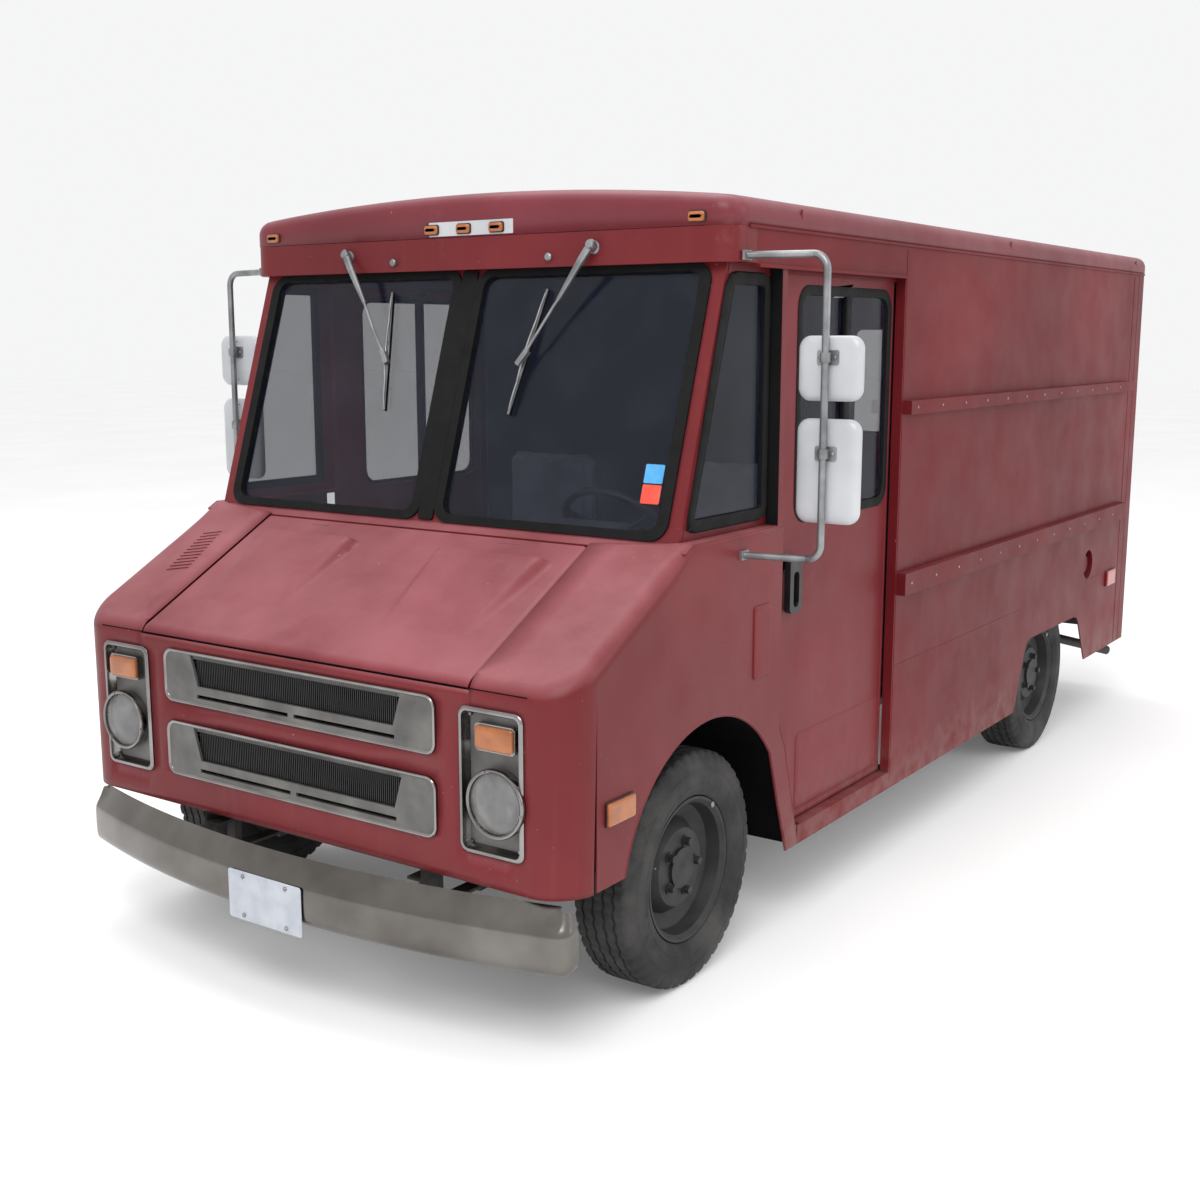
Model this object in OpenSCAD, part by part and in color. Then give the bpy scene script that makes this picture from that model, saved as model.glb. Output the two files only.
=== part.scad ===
// Step-van mail delivery truck.
// Millimetres, X across, Y along with the nose towards -Y, Z up from the road.
// The left-hand (driver's) side is +X. The origin is on the road, under the middle of the truck.

/* [Body] */
// Width over the side panels
body_width = 2000; // [1960:10:2040]
// Length from the grille face to the rear frame
body_length = 5190; // [5150:10:5250]
// Height of the roof at its crown
roof_height = 2400; // [2380:5:2420]
// How far the front bumper stands ahead of the grille
bumper_reach = 140; // [130:5:160]
// Depth of the rear step behind the rear frame
rear_step = 140; // [120:5:160]
// Thickness of the body sheets as modelled
skin = 6; // [4:1:8]

/* [Running gear] */
// Distance between the axles
wheelbase = 3175; // [3160:5:3190]
// Outer diameter of a tyre
tyre_diameter = 730; // [720:2:740]
// Width of a tyre
tyre_width = 205; // [195:5:210]
// Distance of each wheel's middle from the centre line
wheel_offset = 865; // [860:1:868]
// Distance of each kingpin from the centre line
kingpin_offset = 740; // [738:1:742]

/* [Doors] */
// Thickness of a side door
door_thickness = 25; // [22:1:25]
// How far the side doors stand in from the side panels
door_recess = 40; // [38:1:45]
// Height of the cab and cargo floor
floor_height = 640; // [630:5:650]

/* [Hidden] */
$fn = 48;

half = body_width / 2;
overall_length = bumper_reach + body_length + rear_step;
grille_y = -overall_length / 2 + bumper_reach;
front_axle_y = 690;
rear_axle_y = front_axle_y + wheelbase;
hub_z = tyre_diameter / 2;
running_gap = 0.05;

// Lines of the nose: the hood plane rises from the grille to the cowl
hood_tilt = 28.6;
nose_top = 1040;
hood_rear = 552;
cowl_front = 568;
hood_half = 670;
seam_y = 130;
corner_r = 130;
roof_corner = 80;
nose_bottom = 480;

// Lines of the cab and the box
belt_z = 1366;
header_z = 2160;
roof_seam = 2264;
glass_tilt = 72.14;
glass_foot = [0, 603.4, 1364.2];
glass_run = 836;
pillar_x = half - 45;
header_y = 820;
door_rear = 2034;
box_front = 2040;
box_rear = 5050;
sill_z = 276;
rear_sill_z = 333;
door_out = half - door_recess;
door_in = door_out - door_thickness;
door_front = 1160;
door_top = 2146;
door_bottom = 346;
lining_x = 915;
arch_r = 470;
arch_y = 720;
window_low = 1365;
window_high = 2093;
window_front = 1313;
window_rear = 1998;

paint = [0.50, 0.25, 0.26];
steel = [0.25, 0.25, 0.26];
black = [0.08, 0.08, 0.08];
chrome = [0.72, 0.72, 0.74];
amber = [0.78, 0.48, 0.22];
glass = [0.25, 0.30, 0.36, 0.5];

// ---- shared helpers ----

// Moves a shape drawn from the grille face into the truck's frame
module from_grille() {
    translate([0, grille_y, 0]) children();
}

module both_sides() {
    children();
    mirror([1, 0, 0]) children();
}

// Extrudes an outline drawn in (Y, Z) from x0 to x1
module along_x(x0, x1) {
    translate([x0, 0, 0]) rotate([90, 0, 90]) linear_extrude(x1 - x0) children();
}

// Extrudes an outline drawn in (X, Z) from y0 to y1
module along_y(y0, y1) {
    translate([0, y1, 0]) rotate([90, 0, 0]) linear_extrude(y1 - y0) children();
}

// A box given by its low and high corners
module block(low, high) {
    translate(low) cube(high - low);
}

// A rectangle with round corners, given by its low and high corners
module round_box(low, high, r) {
    translate([low.x + r, low.y]) square([high.x - low.x - 2 * r, high.y - low.y]);
    translate([low.x, low.y + r]) square([high.x - low.x, high.y - low.y - 2 * r]);
    for (x = [low.x + r, high.x - r], y = [low.y + r, high.y - r])
        translate([x, y]) circle(r);
}

// A round bar between two points
module rod(a, b, r) {
    d = b - a;
    length = norm(d);
    turn = atan2(d.y, d.x);
    lean = acos(d.z / length);
    translate(a) rotate([0, lean, turn]) cylinder(r = r, h = length);
}

// A pipe with round elbows through a list of points
module pipe(points, r) {
    for (i = [0 : len(points) - 2])
        rod(points[i], points[i + 1], r);
    for (i = [1 : len(points) - 2])
        translate(points[i]) sphere(r);
}

module on_windshield() {
    translate(glass_foot) rotate([glass_tilt, 0, 0]) children();
}

function hood_z(y) = nose_top + y * tan(hood_tilt);

// ---- chassis ----

floor_low = floor_height - 20;
rail_x = 400;
rail_w = 60;
rail_low = 420;
rail_high = 580;
// Seam left between bolted members and between floor sheets
seam = 0.4;

module rail() {
    difference() {
        block([rail_x, 40, rail_low], [rail_x + rail_w, 5140, rail_high]);
        block([rail_x - 1, 39, rail_low + 8], [rail_x + rail_w - 8, 5141, rail_high - 8]);
    }
}

module chassis_frame() {
    color(steel) from_grille() {
        both_sides() rail();
        for (y = [72, 1700, 2900, 4150, 5080])
            block([-rail_x + seam, y, 546], [rail_x - seam, y + 50, rail_high]);
        for (y = [1262, 2180, 2780, 3376, 4480])
            both_sides() block([rail_x, y, rail_high + seam], [890, y + 40, floor_low]);
    }
}

step_inner = 600;
step_front = 1316;

tunnel_x = 336;
tub_x = 734;

// A floor sheet given by its low and high corners in plan
module sheet(low, high) {
    block([low[0], low[1], floor_low], [high[0], high[1], floor_height]);
}

module floor_sheets() {
    both_sides() {
        sheet([tunnel_x, 612], [550, 1262 - seam]);
        sheet([tunnel_x, 1262], [step_inner, door_rear]);
        sheet([step_inner + seam, 1262], [lining_x - 3, step_front]);
    }
    sheet([-tunnel_x + seam, 1346], [tunnel_x - seam, door_rear]);
    sheet([-lining_x + 3, door_rear + seam], [lining_x - 3, rear_axle_y - 440]);
    sheet([-tub_x, rear_axle_y - 440 + seam], [tub_x, rear_axle_y + 440]);
    sheet([-lining_x + 3, rear_axle_y + 440 + seam], [lining_x - 3, 5044]);
    sheet([-796, 5044 + seam], [796, 5143]);
}

module step_well() {
    wall_top = floor_low - seam;
    block([step_inner, step_front, 345], [925, door_rear, 360]);
    block([step_inner - 6, step_front, 345], [step_inner, door_rear, wall_top]);
    block([step_inner - 6, step_front - 6, 345], [lining_x - 3, step_front, wall_top]);
    block([step_inner - 6, door_rear, 345], [lining_x - 3, door_rear + 6, wall_top]);
}

// Box over each rear wheel
module wheel_tub() {
    low = floor_height + seam;
    difference() {
        block([tub_x - 6, rear_axle_y - 446, low], [lining_x - 3, rear_axle_y + 446, 800]);
        block([tub_x, rear_axle_y - 440, low - 1], [lining_x, rear_axle_y + 440, 794]);
    }
}

module floor() {
    color(steel) from_grille() {
        floor_sheets();
        both_sides() step_well();
        both_sides() wheel_tub();
    }
}

// ---- side panels ----

module rear_arch() {
    y0 = rear_axle_y - 448;
    polygon([
        [y0 - 31, 200], [y0 + 120, 545], [y0 + 135, 568], [y0 + 165, 583], [y0 + 200, 587],
        [y0 + 840, 583], [y0 + 882, 572], [y0 + 908, 548], [y0 + 1122, 200]
    ]);
}

module side_outline() {
    difference() {
        union() {
            translate([box_front, sill_z]) square([box_rear - box_front, roof_seam - sill_z]);
            translate([950, 2152]) square([box_front - 950, roof_seam - 2152]);
            translate([1302, sill_z]) square([box_front - 1302, 340 - sill_z]);
        }
        rear_arch();
        translate([rear_axle_y + 520, 0]) square([2000, rear_sill_z]);
    }
}

// Belt rails that guard the box side
module belt_rail(low, high) {
    difference() {
        block([half, 2060, low], [half + 32, 4940, high]);
        translate([half + 32, 0, low]) rotate([0, 30, 0]) block([0, 2000, -60], [60, 5000, 60]);
    }
}

module side() {
    difference() {
        along_x(half - skin, half) side_outline();
        translate([half - 20, 4436, 823]) rotate([0, 90, 0]) cylinder(r = 72, h = 40);
    }
    // fuel filler cup with its cap
    translate([half - 45, 4436, 823]) rotate([0, 90, 0]) {
        difference() {
            cylinder(r = 78, h = 39);
            translate([0, 0, 6]) cylinder(r = 72, h = 40);
        }
        cylinder(r = 42, h = 30);
    }
    belt_rail(1010, 1092);
    belt_rail(1671, 1720);
    // flange beside the door, and the box's inner lining with its ribs
    block([door_out + 5, box_front, 340], [half, box_front + skin, 2152]);
    difference() {
        block([lining_x, box_front + 12, floor_height], [lining_x + skin, box_rear, 2200]);
        block([lining_x - 1, rear_axle_y - 446, 600], [930, rear_axle_y + 446, 800]);
    }
    for (y = [2740, 3300, 3860, 4330, 4700])
        block([lining_x + skin, y, 900], [half - skin - (y > 4300 && y < 4500 ? 60 : 0), y + 30, 2200]);
    block([lining_x, 1170, 2200], [half - skin, box_rear, roof_seam]);
    // door tracks over and under the door
    for (x = [door_in - 7, door_out + 3])
        block([x, 1170, 2136], [x + 4, 2700, 2200]);
    block([door_in - 8, box_front, 330], [half - skin, 2700, 340]);
    block([step_inner + 328, 1330, 330], [half, box_front, 340]);
}

module side_left() {
    color(paint) from_grille() side();
}

module side_right() {
    color(paint) mirror([1, 0, 0]) from_grille() side();
}

// ---- roof ----

function crown_r(w, rise) = (w * w + rise * rise) / (2 * rise);

// The roof's section: upright edges, round shoulders and a slight crown
module roof_section(inset) {
    w = half - inset;
    top = roof_height - inset;
    rise = 55;
    shoulder = 45;
    r = crown_r(half, rise);
    steps = 12;
    span = asin((w - shoulder) / r);
    edge_z = top - r + r * cos(span);
    right = [for (i = [0 : 4]) [
        w - shoulder + shoulder * sin(90 - i * 22.5),
        edge_z - shoulder + shoulder * cos(90 - i * 22.5)]];
    crown = [for (i = [1 : steps - 1]) let (a = span - 2 * span * i / steps)
        [r * sin(a), top - r + r * cos(a)]];
    left = [for (i = [0 : 4]) [-right[4 - i].x, right[4 - i].y]];
    polygon(concat([[w, roof_seam]], right, crown, left, [[-w, roof_seam]]));
}

module roof_plan(inset) {
    low = [-half + inset, header_y + inset];
    high = [half - inset, body_length - inset];
    r = roof_corner - inset;
    translate([low.x, low.y + r]) square([high.x - low.x, high.y - low.y - r - 60]);
    translate([low.x + r, low.y]) square([high.x - low.x - 2 * r, r + 1]);
    for (x = [low.x + r, high.x - r])
        translate([x, low.y + r]) circle(r);
    round_box([low.x, high.y - 300], high, 60 - inset);
}

module roof_body(inset) {
    intersection() {
        along_y(header_y, body_length) roof_section(inset);
        translate([0, 0, roof_seam - 1]) linear_extrude(300) roof_plan(inset);
    }
}

module roof() {
    color(paint) from_grille() difference() {
        roof_body(0);
        translate([0, 0, -0.01]) roof_body(8);
    }
}

// ---- cab front ----

pane_in = 29;
pane_out = 912;

module header_band() {
    difference() {
        translate([0, 0, header_z]) linear_extrude(roof_seam - header_z) roof_plan(0);
        on_windshield() both_sides() translate([wiper_x, wiper_run, 0]) cylinder(r = 11, h = 120);
        translate([0, 0, header_z - 1]) linear_extrude(200) roof_plan(skin);
        block([-1200, 950, 2000], [1200, 6000, 2400]);
    }
    difference() {
        translate([0, 0, header_z]) linear_extrude(skin) roof_plan(skin);
        block([-1200, 872, 2000], [1200, 6000, 2400]);
    }
}

module windshield_opening(x0, x1) {
    translate([0, 0, -40]) linear_extrude(80)
        round_box([x0 + 6, 8], [x1 - 6, glass_run - 10], 56);
}

module windshield_frame() {
    on_windshield() difference() {
        block([-pillar_x + 2, 0, -30], [pillar_x - 2, glass_run + 20, 0]);
        windshield_opening(pane_in, pane_out);
        windshield_opening(-pane_out, -pane_in);
    }
}

module quarter_outline(grow) {
    polygon([
        [642 - grow, 1398 - grow], [1098 + grow, 1398 - grow],
        [1098 + grow, 2126 + grow], [866 - grow * 0.7, 2126 + grow]
    ]);
}

module quarter_frame() {
    foot = glass_foot.y + 12;
    along_x(pillar_x - skin, pillar_x) difference() {
        polygon([[foot + 6, belt_z - 4], [1120, belt_z - 4], [1120, header_z + 2], [foot + 257, header_z + 2]]);
        quarter_outline(0);
    }
}

module cab_front() {
    color(paint) from_grille() {
        header_band();
        difference() {
            windshield_frame();
            block([-1000, 500, header_z], [1000, 1000, 2400]);
            block([-1000, 500, 1200], [1000, 1000, belt_z - 4]);
        }
        both_sides() {
            quarter_frame();
            block([pillar_x - skin, 1118, belt_z - 4], [half - 1, 1150, 2152]);
            block([pillar_x - skin, 1118, 2152], [half - skin, 1150, 2200]);
            block([pillar_x - 60, 925, header_z], [half - skin, 1118, header_z + skin]);
        }
        // cowl top and the shoulder below the quarter windows
        along_x(-half + 1, half - 1)
            polygon([[cowl_front, 1338], [cowl_front, 1344], [608, belt_z], [640, belt_z], [640, 1356], [608, 1356]]);
        both_sides() block([pillar_x - 30, 640, 1356], [half - 1, 1150, belt_z]);
        // firewall
        difference() {
            block([-700, 604, 600], [700, 610, 1356]);
            block([-336, 600, 500], [336, 620, 1136]);
            both_sides() along_x(552, 1000) arch_outline(16);
        }
        // hood hinge pins on their brackets
        both_sides() {
            translate([340, 562, 1330]) rotate([0, 90, 0]) cylinder(r = 5, h = 120);
            for (x = [340, 452])
                block([x, 557, 1318], [x + 8, 604, 1336]);
        }
    }
}

// ---- nose ----

module arch_outline(grow) {
    translate([arch_y, hub_z]) circle(arch_r + grow, $fn = 96);
    polygon([[1097 + grow, 637], [1240 + grow, 240], [900, 240], [900, 637]]);
}

module fender_outline() {
    difference() {
        polygon([
            [seam_y + 2, nose_bottom], [1302, sill_z], [1195, 640], [1155, 720], [1155, belt_z - 10],
            [608, belt_z - 12], [cowl_front, 1338], [seam_y + 2, hood_z(seam_y + 2) - skin]
        ]);
        arch_outline(0);
    }
}

// A plate that follows the hood plane, between two distances from the grille
module slope_plate(x0, x1, y0, y1) {
    along_x(x0, x1) polygon([
        [y0, hood_z(y0)], [y1, hood_z(y1)], [y1, hood_z(y1) - skin], [y0, hood_z(y0) - skin]
    ]);
}

// Rounds the edge where the hood plane meets the side
module edge_cutter(r) {
    translate([half, 0, nose_top]) rotate([hood_tilt, 0, 0]) difference() {
        block([-r, -300, -r], [r, 900, r]);
        translate([-r, -301, -r]) rotate([-90, 0, 0]) cylinder(r = r, h = 1202);
    }
}

module nose_plan(inset) {
    r = corner_r - inset;
    translate([-half + corner_r, inset]) square([2 * half - 2 * corner_r, 700]);
    translate([-half + inset, corner_r]) square([2 * (half - inset), 570]);
    for (x = [-half + corner_r, half - corner_r])
        translate([x, corner_r]) circle(r);
}

edge_r = 55;

module fender() {
    difference() {
        union() {
            along_x(half - skin, half) fender_outline();
            intersection() {
                slope_plate(hood_half + 3, half - 0.5, 4, cowl_front);
                translate([0, 0, 900]) linear_extrude(600) nose_plan(0);
            }
            // backing of the rounded edge
            along_x(half - edge_r - 4, half - skin) polygon([
                [seam_y + 2, hood_z(seam_y) - skin], [cowl_front, 1332],
                [cowl_front, 1332 - edge_r], [seam_y + 2, hood_z(seam_y) - skin - edge_r]
            ]);
        }
        edge_cutter(edge_r);
    }
    // wheelhouse: a round liner and its inner wall
    difference() {
        along_x(554, half - skin) difference() {
            intersection() {
                arch_outline(14);
                translate([0, 300]) square([1300, 700]);
            }
            arch_outline(8);
        }
        block([500, 0, 0], [2000, arch_y, nose_bottom]);
    }
    along_x(554, 560) intersection() {
        arch_outline(8 - seam);
        translate([0, rail_high + 4]) square([1300, 700]);
    }
}

module fenders() {
    color(paint) from_grille() both_sides() fender();
}

module panel_openings() {
    for (z = [[592, 748], [830, 979]])
        block([-548, -50, z[0]], [548, 60, z[1]]);
    both_sides() block([650, -50, 579], [850, 60, 968]);
}

module grille_panel() {
    color(paint) from_grille() difference() {
        intersection() {
            translate([0, 0, nose_bottom]) linear_extrude(800) difference() {
                nose_plan(0);
                nose_plan(skin);
            }
            along_x(-half, half) polygon([
                [0, nose_bottom], [seam_y, nose_bottom],
                [seam_y, hood_z(seam_y) - skin - 4], [0, nose_top - skin - 4]
            ]);
        }
        panel_openings();
        edge_cutter(edge_r);
        mirror([1, 0, 0]) edge_cutter(edge_r);
    }
}

// Bars that fill each grille
module grille_insert(low, high) {
    opening_low = low + 62;
    opening_high = high - 10;
    along_y(-9, 0) difference() {
        round_box([-558, low], [558, high], 34);
        polygon([
            [-405, opening_low], [405, opening_low],
            [435, opening_high], [-435, opening_high]
        ]);
        for (x = [-410, 12])
            translate([x, low + 24]) square([398, 12]);
    }
    along_y(0, 34) difference() {
        translate([-540, low + 12]) square([1080, high - low - 24]);
        translate([-530, low + 22]) square([1060, high - low - 44]);
    }
    for (i = [-10 : 10])
        block([i * 40 - 3, 28, low + 22], [i * 40 + 3, 34, high - 22]);
}

module grilles() {
    color(chrome) from_grille() {
        grille_insert(583, 757);
        grille_insert(821, 988);
    }
}

headlamp_z = 724;

module headlamp() {
    along_y(-9, 0) difference() {
        round_box([640, 569], [860, 978], 26);
        round_box([652, 581], [848, 966], 18);
    }
    along_y(0, 30) round_box([653, 582], [847, 965], 16);
    translate([770, -18, headlamp_z]) rotate([-90, 0, 0]) cylinder(r = 97, h = 17.5);
    intersection() {
        translate([770, 180, headlamp_z]) sphere(r = 208, $fn = 64);
        translate([770, -40, headlamp_z]) rotate([-90, 0, 0]) cylinder(r = 86, h = 36);
    }
    block([698, -14, 864], [829, 12, 935]);
}

module headlamps() {
    color(chrome) from_grille() both_sides() headlamp();
}

module clearance_lamp() {
    translate([-30, 0, 0]) cube([60, 16, 34]);
}

module marker_lamps() {
    color(amber) from_grille() {
        for (x = [-135, 0, 135])
            translate([x, header_y - 16, 2272]) clearance_lamp();
        both_sides() {
            translate([875, header_y - 16, 2272]) clearance_lamp();
            block([half, 166, 651], [half + 14, 304, 721]);
            block([half, 4750, 665], [half + 14, 4900, 748]);
            translate([880, body_length, 2272]) clearance_lamp();
            for (z = [760, 880])
                translate([905, body_length, z]) rotate([-90, 0, 0]) cylinder(r = 50, h = 22);
        }
        for (x = [-135, 0, 135])
            translate([x, body_length, 2272]) clearance_lamp();
    }
}

bumper_r = 3500;

module front_bumper() {
    crest = -bumper_reach + 4;
    sweep = 2 * asin((half - 8) / bumper_r);
    color(chrome) from_grille() {
        translate([0, crest + bumper_r, 0]) rotate([0, 0, -90 - sweep / 2])
            rotate_extrude(angle = sweep, $fn = 360) polygon([
                [bumper_r - 24, 270], [bumper_r, 292], [bumper_r, 388], [bumper_r - 50, 462],
                [bumper_r - 58, 458], [bumper_r - 8, 385], [bumper_r - 8, 296], [bumper_r - 30, 277]
            ]);
        // brackets to the frame rails
        both_sides() difference() {
            block([rail_x + 48, crest + 34, 320], [rail_x + 60, 60, rail_low]);
            block([rail_x, -200, 372], [rail_x + 80, -30, 480]);
        }
    }
}

module licence_plate() {
    crest = -bumper_reach + 4;
    color("white") from_grille()
        along_y(crest - 4, crest - 1) round_box([-152, 240], [152, 392], 10);
}

// ---- glass and seals ----

module windshield_gasket(x0, x1) {
    difference() {
        union() {
            linear_extrude(8) round_box([x0, 0], [x1, glass_run - 2], 60);
            translate([0, 0, -22]) linear_extrude(22)
                round_box([x0 + 6, 8], [x1 - 6, glass_run - 10], 56);
        }
        translate([0, 0, -40]) linear_extrude(80)
            round_box([x0 + 36, 27], [x1 - 37, 811], 40);
    }
}

// Sits in the quarter frame and stops short of the windshield frame beside it
module quarter_gasket() {
    difference() {
        along_x(pillar_x - skin, pillar_x + 10) difference() {
            quarter_outline(0);
            quarter_outline(-28);
        }
        on_windshield()
            block([0, -60, -31], [pillar_x - 2 + seam, glass_run + 21, 1]);
    }
}

module window_gaskets() {
    color(black) from_grille() {
        difference() {
            on_windshield() both_sides() windshield_gasket(pane_in, pane_out);
            block([-1000, 500, header_z], [1000, 1000, 2400]);
            block([-1000, 500, 1200], [1000, 1000, belt_z]);
        }
        both_sides() quarter_gasket();
    }
}

module fixed_glass() {
    color(glass) from_grille() {
        on_windshield() both_sides() translate([0, 0, -12]) linear_extrude(6)
            round_box([pane_in + 36, 27], [pane_out - 37, 811], 40);
        both_sides() along_x(pillar_x - 4, pillar_x + 1) quarter_outline(-28);
    }
}

// ---- rear ----

rear_half = 800;
rear_door_low = 650;
rear_door_high = 2174;
rear_face = body_length;
rear_hinge_y = rear_face + 12;
rear_hinge_zs = [820, 1400, 1980];

module rear_corner() {
    linear_extrude(roof_seam - rear_sill_z) difference() {
        union() {
            round_box([rear_half, rear_face - 140], [half, rear_face], 60);
            translate([rear_half, rear_face - 140]) square([140, 140]);
            translate([half - 60, rear_face - 140]) square([60, 70]);
        }
        translate([rear_half + skin, rear_face - 200]) square([half - rear_half - 60 - skin, 194]);
        translate([half - 62, rear_face - 200]) square([62 - skin, 140]);
    }
}

module rear_frame() {
    color(paint) from_grille() {
        both_sides() translate([0, 0, rear_sill_z]) rear_corner();
        block([-rear_half, rear_face - 46, 410], [rear_half, rear_face, rear_door_low - 5]);
        block([-rear_half, rear_face - 46, rear_door_high + 5], [rear_half, rear_face, roof_seam]);
        both_sides() for (z = rear_hinge_zs) {
            translate([rear_half + 4, rear_hinge_y, z - 50]) cylinder(r = 6, h = 100);
            for (dz = [-50, 26])
                translate([rear_half + 4, rear_hinge_y, z + dz]) cylinder(r = 11, h = 24);
            for (dz = [-50, 26])
                block([rear_half + 4, rear_face, z + dz], [rear_half + 50, rear_hinge_y + 2, z + dz + 24]);
        }
    }
}

module rear_bumper() {
    y0 = body_length + 14;
    y1 = body_length + rear_step;
    color(steel) from_grille() {
        difference() {
            block([-860, y0, 396], [860, y1, 408]);
            translate([0, y1 - 50, 380]) cylinder(r = 13, h = 40);
        }
        block([-860, y1 - 8, 340], [860, y1, 396]);
        both_sides() {
            block([rail_x + 10, 5060, 384], [rail_x + 50, y1 - 8, 396]);
            block([rail_x + 10, 5060, 396], [rail_x + 50, 5130, rail_low]);
        }
        difference() {
            block([-790, y1 - 4, 408], [-486, y1, 560]);
            for (x = [-89, 89], z = [-60.5, 60.5])
                translate([-638 + x, y1 - 20, 484 + z]) rotate([-90, 0, 0]) cylinder(r = 3.5, h = 40);
        }
    }
}

module rear_door(bar_x) {
    x0 = 2;
    x1 = rear_half - 3;
    difference() {
        block([x0, rear_face - 36, rear_door_low], [x1, rear_face - 6, rear_door_high]);
        along_y(rear_face - 60, rear_face + 20) round_box([150, 1380], [660, 2000], 50);
    }
    along_y(rear_face - 24, rear_face - 19) round_box([150, 1380], [660, 2000], 50);
    for (z = rear_hinge_zs) {
        difference() {
            union() {
                translate([rear_half + 4, rear_hinge_y, z - 23]) cylinder(r = 11, h = 46);
                block([rear_half - 70, rear_face - 6, z - 23], [rear_half - 8, rear_hinge_y + 4, z + 23]);
                block([rear_half - 9, rear_hinge_y - 4, z - 23], [rear_half + 4, rear_hinge_y + 4, z + 23]);
            }
            translate([rear_half + 4, rear_hinge_y, z - 60]) cylinder(r = 6 + running_gap, h = 120);
        }
    }
}

module rear_door_left() {
    color(paint) from_grille() difference() {
        rear_door();
        translate([90, rear_face - 60, 1180]) rotate([-90, 0, 0]) cylinder(r = 9 + running_gap, h = 100);
    }
}

module rear_door_right() {
    color(paint) mirror([1, 0, 0]) from_grille() rear_door();
}

module rear_latch() {
    color(chrome) from_grille() {
        translate([90, rear_face - 44, 1180]) rotate([-90, 0, 0]) cylinder(r = 9, h = 66);
        translate([90, rear_face + 12, 1180]) rotate([-90, 0, 0]) cylinder(r = 20, h = 14);
        along_y(rear_face + 12, rear_face + 24) round_box([78, 1030], [102, 1190], 11);
    }
}

// ---- side doors ----

module door_outline() {
    difference() {
        polygon([
            [door_front, door_top], [door_rear, door_top], [door_rear, door_bottom],
            [1330, door_bottom], [1196, 660], [door_front, 740]
        ]);
        round_box([window_front, window_low], [window_rear, window_high], 60);
    }
}

handle_y = 1258;
handle_z = 1228;

module door() {
    difference() {
        along_x(door_in, door_out) door_outline();
        translate([door_in - 5, handle_y, handle_z]) rotate([0, 90, 0]) cylinder(r = 8 + running_gap, h = 60);
    }
    along_x(door_in + 15, door_in + 20) round_box([1650, window_low], [window_rear, window_high], 60);
    along_x(door_in + 15, door_in + 20) translate([1650, window_low]) square([80, window_high - window_low]);
}

module door_pane() {
    along_x(door_in + 5, door_in + 10) round_box([window_front + 4, window_low + 4], [1668, window_high - 4], 56);
}

// Looped grip that turns on its upper pivot
module door_handle() {
    translate([door_in + 4, handle_y, handle_z]) rotate([0, 90, 0]) cylinder(r = 8, h = door_thickness + 26);
    translate([door_out + 3, handle_y, handle_z]) rotate([0, 90, 0]) cylinder(r = 22, h = 10);
    along_x(door_out + 13, door_out + 35) difference() {
        round_box([handle_y - 38, handle_z - 160], [handle_y + 44, handle_z + 24], 22);
        round_box([handle_y - 14, handle_z - 140], [handle_y + 24, handle_z - 26], 15);
    }
}

module door_left() {
    color(paint) from_grille() door();
}

module door_right() {
    color(paint) mirror([1, 0, 0]) from_grille() door();
}

module door_pane_left() {
    color(glass) from_grille() door_pane();
}

module door_pane_right() {
    color(glass) mirror([1, 0, 0]) from_grille() door_pane();
}

module door_handle_left() {
    color(black) from_grille() door_handle();
}

module door_handle_right() {
    color(black) mirror([1, 0, 0]) from_grille() door_handle();
}

// ---- hood ----

module power_dome() {
    along_x(190, 590) polygon([
        [170, hood_z(170)], [450, hood_z(450) + 18], [470, hood_z(470)], [470, hood_z(470) - 1], [170, hood_z(170) - 1]
    ]);
}

module hood() {
    color(paint) from_grille() {
        slope_plate(-hood_half, hood_half, 2, hood_rear);
        both_sides() power_dome();
        // hinge barrels
        both_sides() difference() {
            union() {
                translate([354, 562, 1330]) rotate([0, 90, 0]) cylinder(r = 9, h = 92);
                block([354, 530, 1318], [446, 552, 1332]);
                block([354, 540, 1318], [446, 562, 1324]);
            }
            translate([350, 562, 1330]) rotate([0, 90, 0]) cylinder(r = 5 + running_gap, h = 100);
        }
    }
}

// ---- wipers ----

wiper_x = 511;
wiper_z = 2214;
wiper_lean = 33;
// The pivot in the windshield's own plane and its height over the glass frame
wiper_run = (header_y - glass_foot.y) * cos(glass_tilt) + (wiper_z - glass_foot.z) * sin(glass_tilt);
wiper_arm = 405;

// Drawn hanging straight down in a plane parallel to the glass, then leaned inwards
module wiper() {
    on_windshield() translate([wiper_x, wiper_run, 0]) rotate([0, 0, -wiper_lean]) {
        translate([0, 0, 34]) cylinder(r = 7, h = 50);
        translate([0, 0, 66]) cylinder(r = 15, h = 22);
        rod([0, -8, 78], [0, -190, 50], 8);
        rod([0, -190, 50], [0, -wiper_arm + 15, 30], 5);
        translate([-9, -wiper_arm - 28, 16]) cube([18, 56, 18]);
        translate([0, -wiper_arm, 0]) rotate([0, 0, 24]) {
            translate([-4, -180, 10]) cube([8, 410, 8]);
            translate([-2, -180, -5.5]) cube([4, 410, 17]);
        }
    }
}

module wiper_left() {
    color(chrome) from_grille() wiper();
}

module wiper_right() {
    color(chrome) mirror([1, 0, 0]) from_grille() wiper();
}

// ---- mirrors ----

tube_x = half + 240;
tube_y = 927;
tube_top = 2179;
tube_low = 1302;
tube_r = 11;
bend = 45;

module bend_arc() {
    rotate_extrude(angle = 90) translate([bend, 0]) circle(tube_r, $fn = 24);
}

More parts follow.
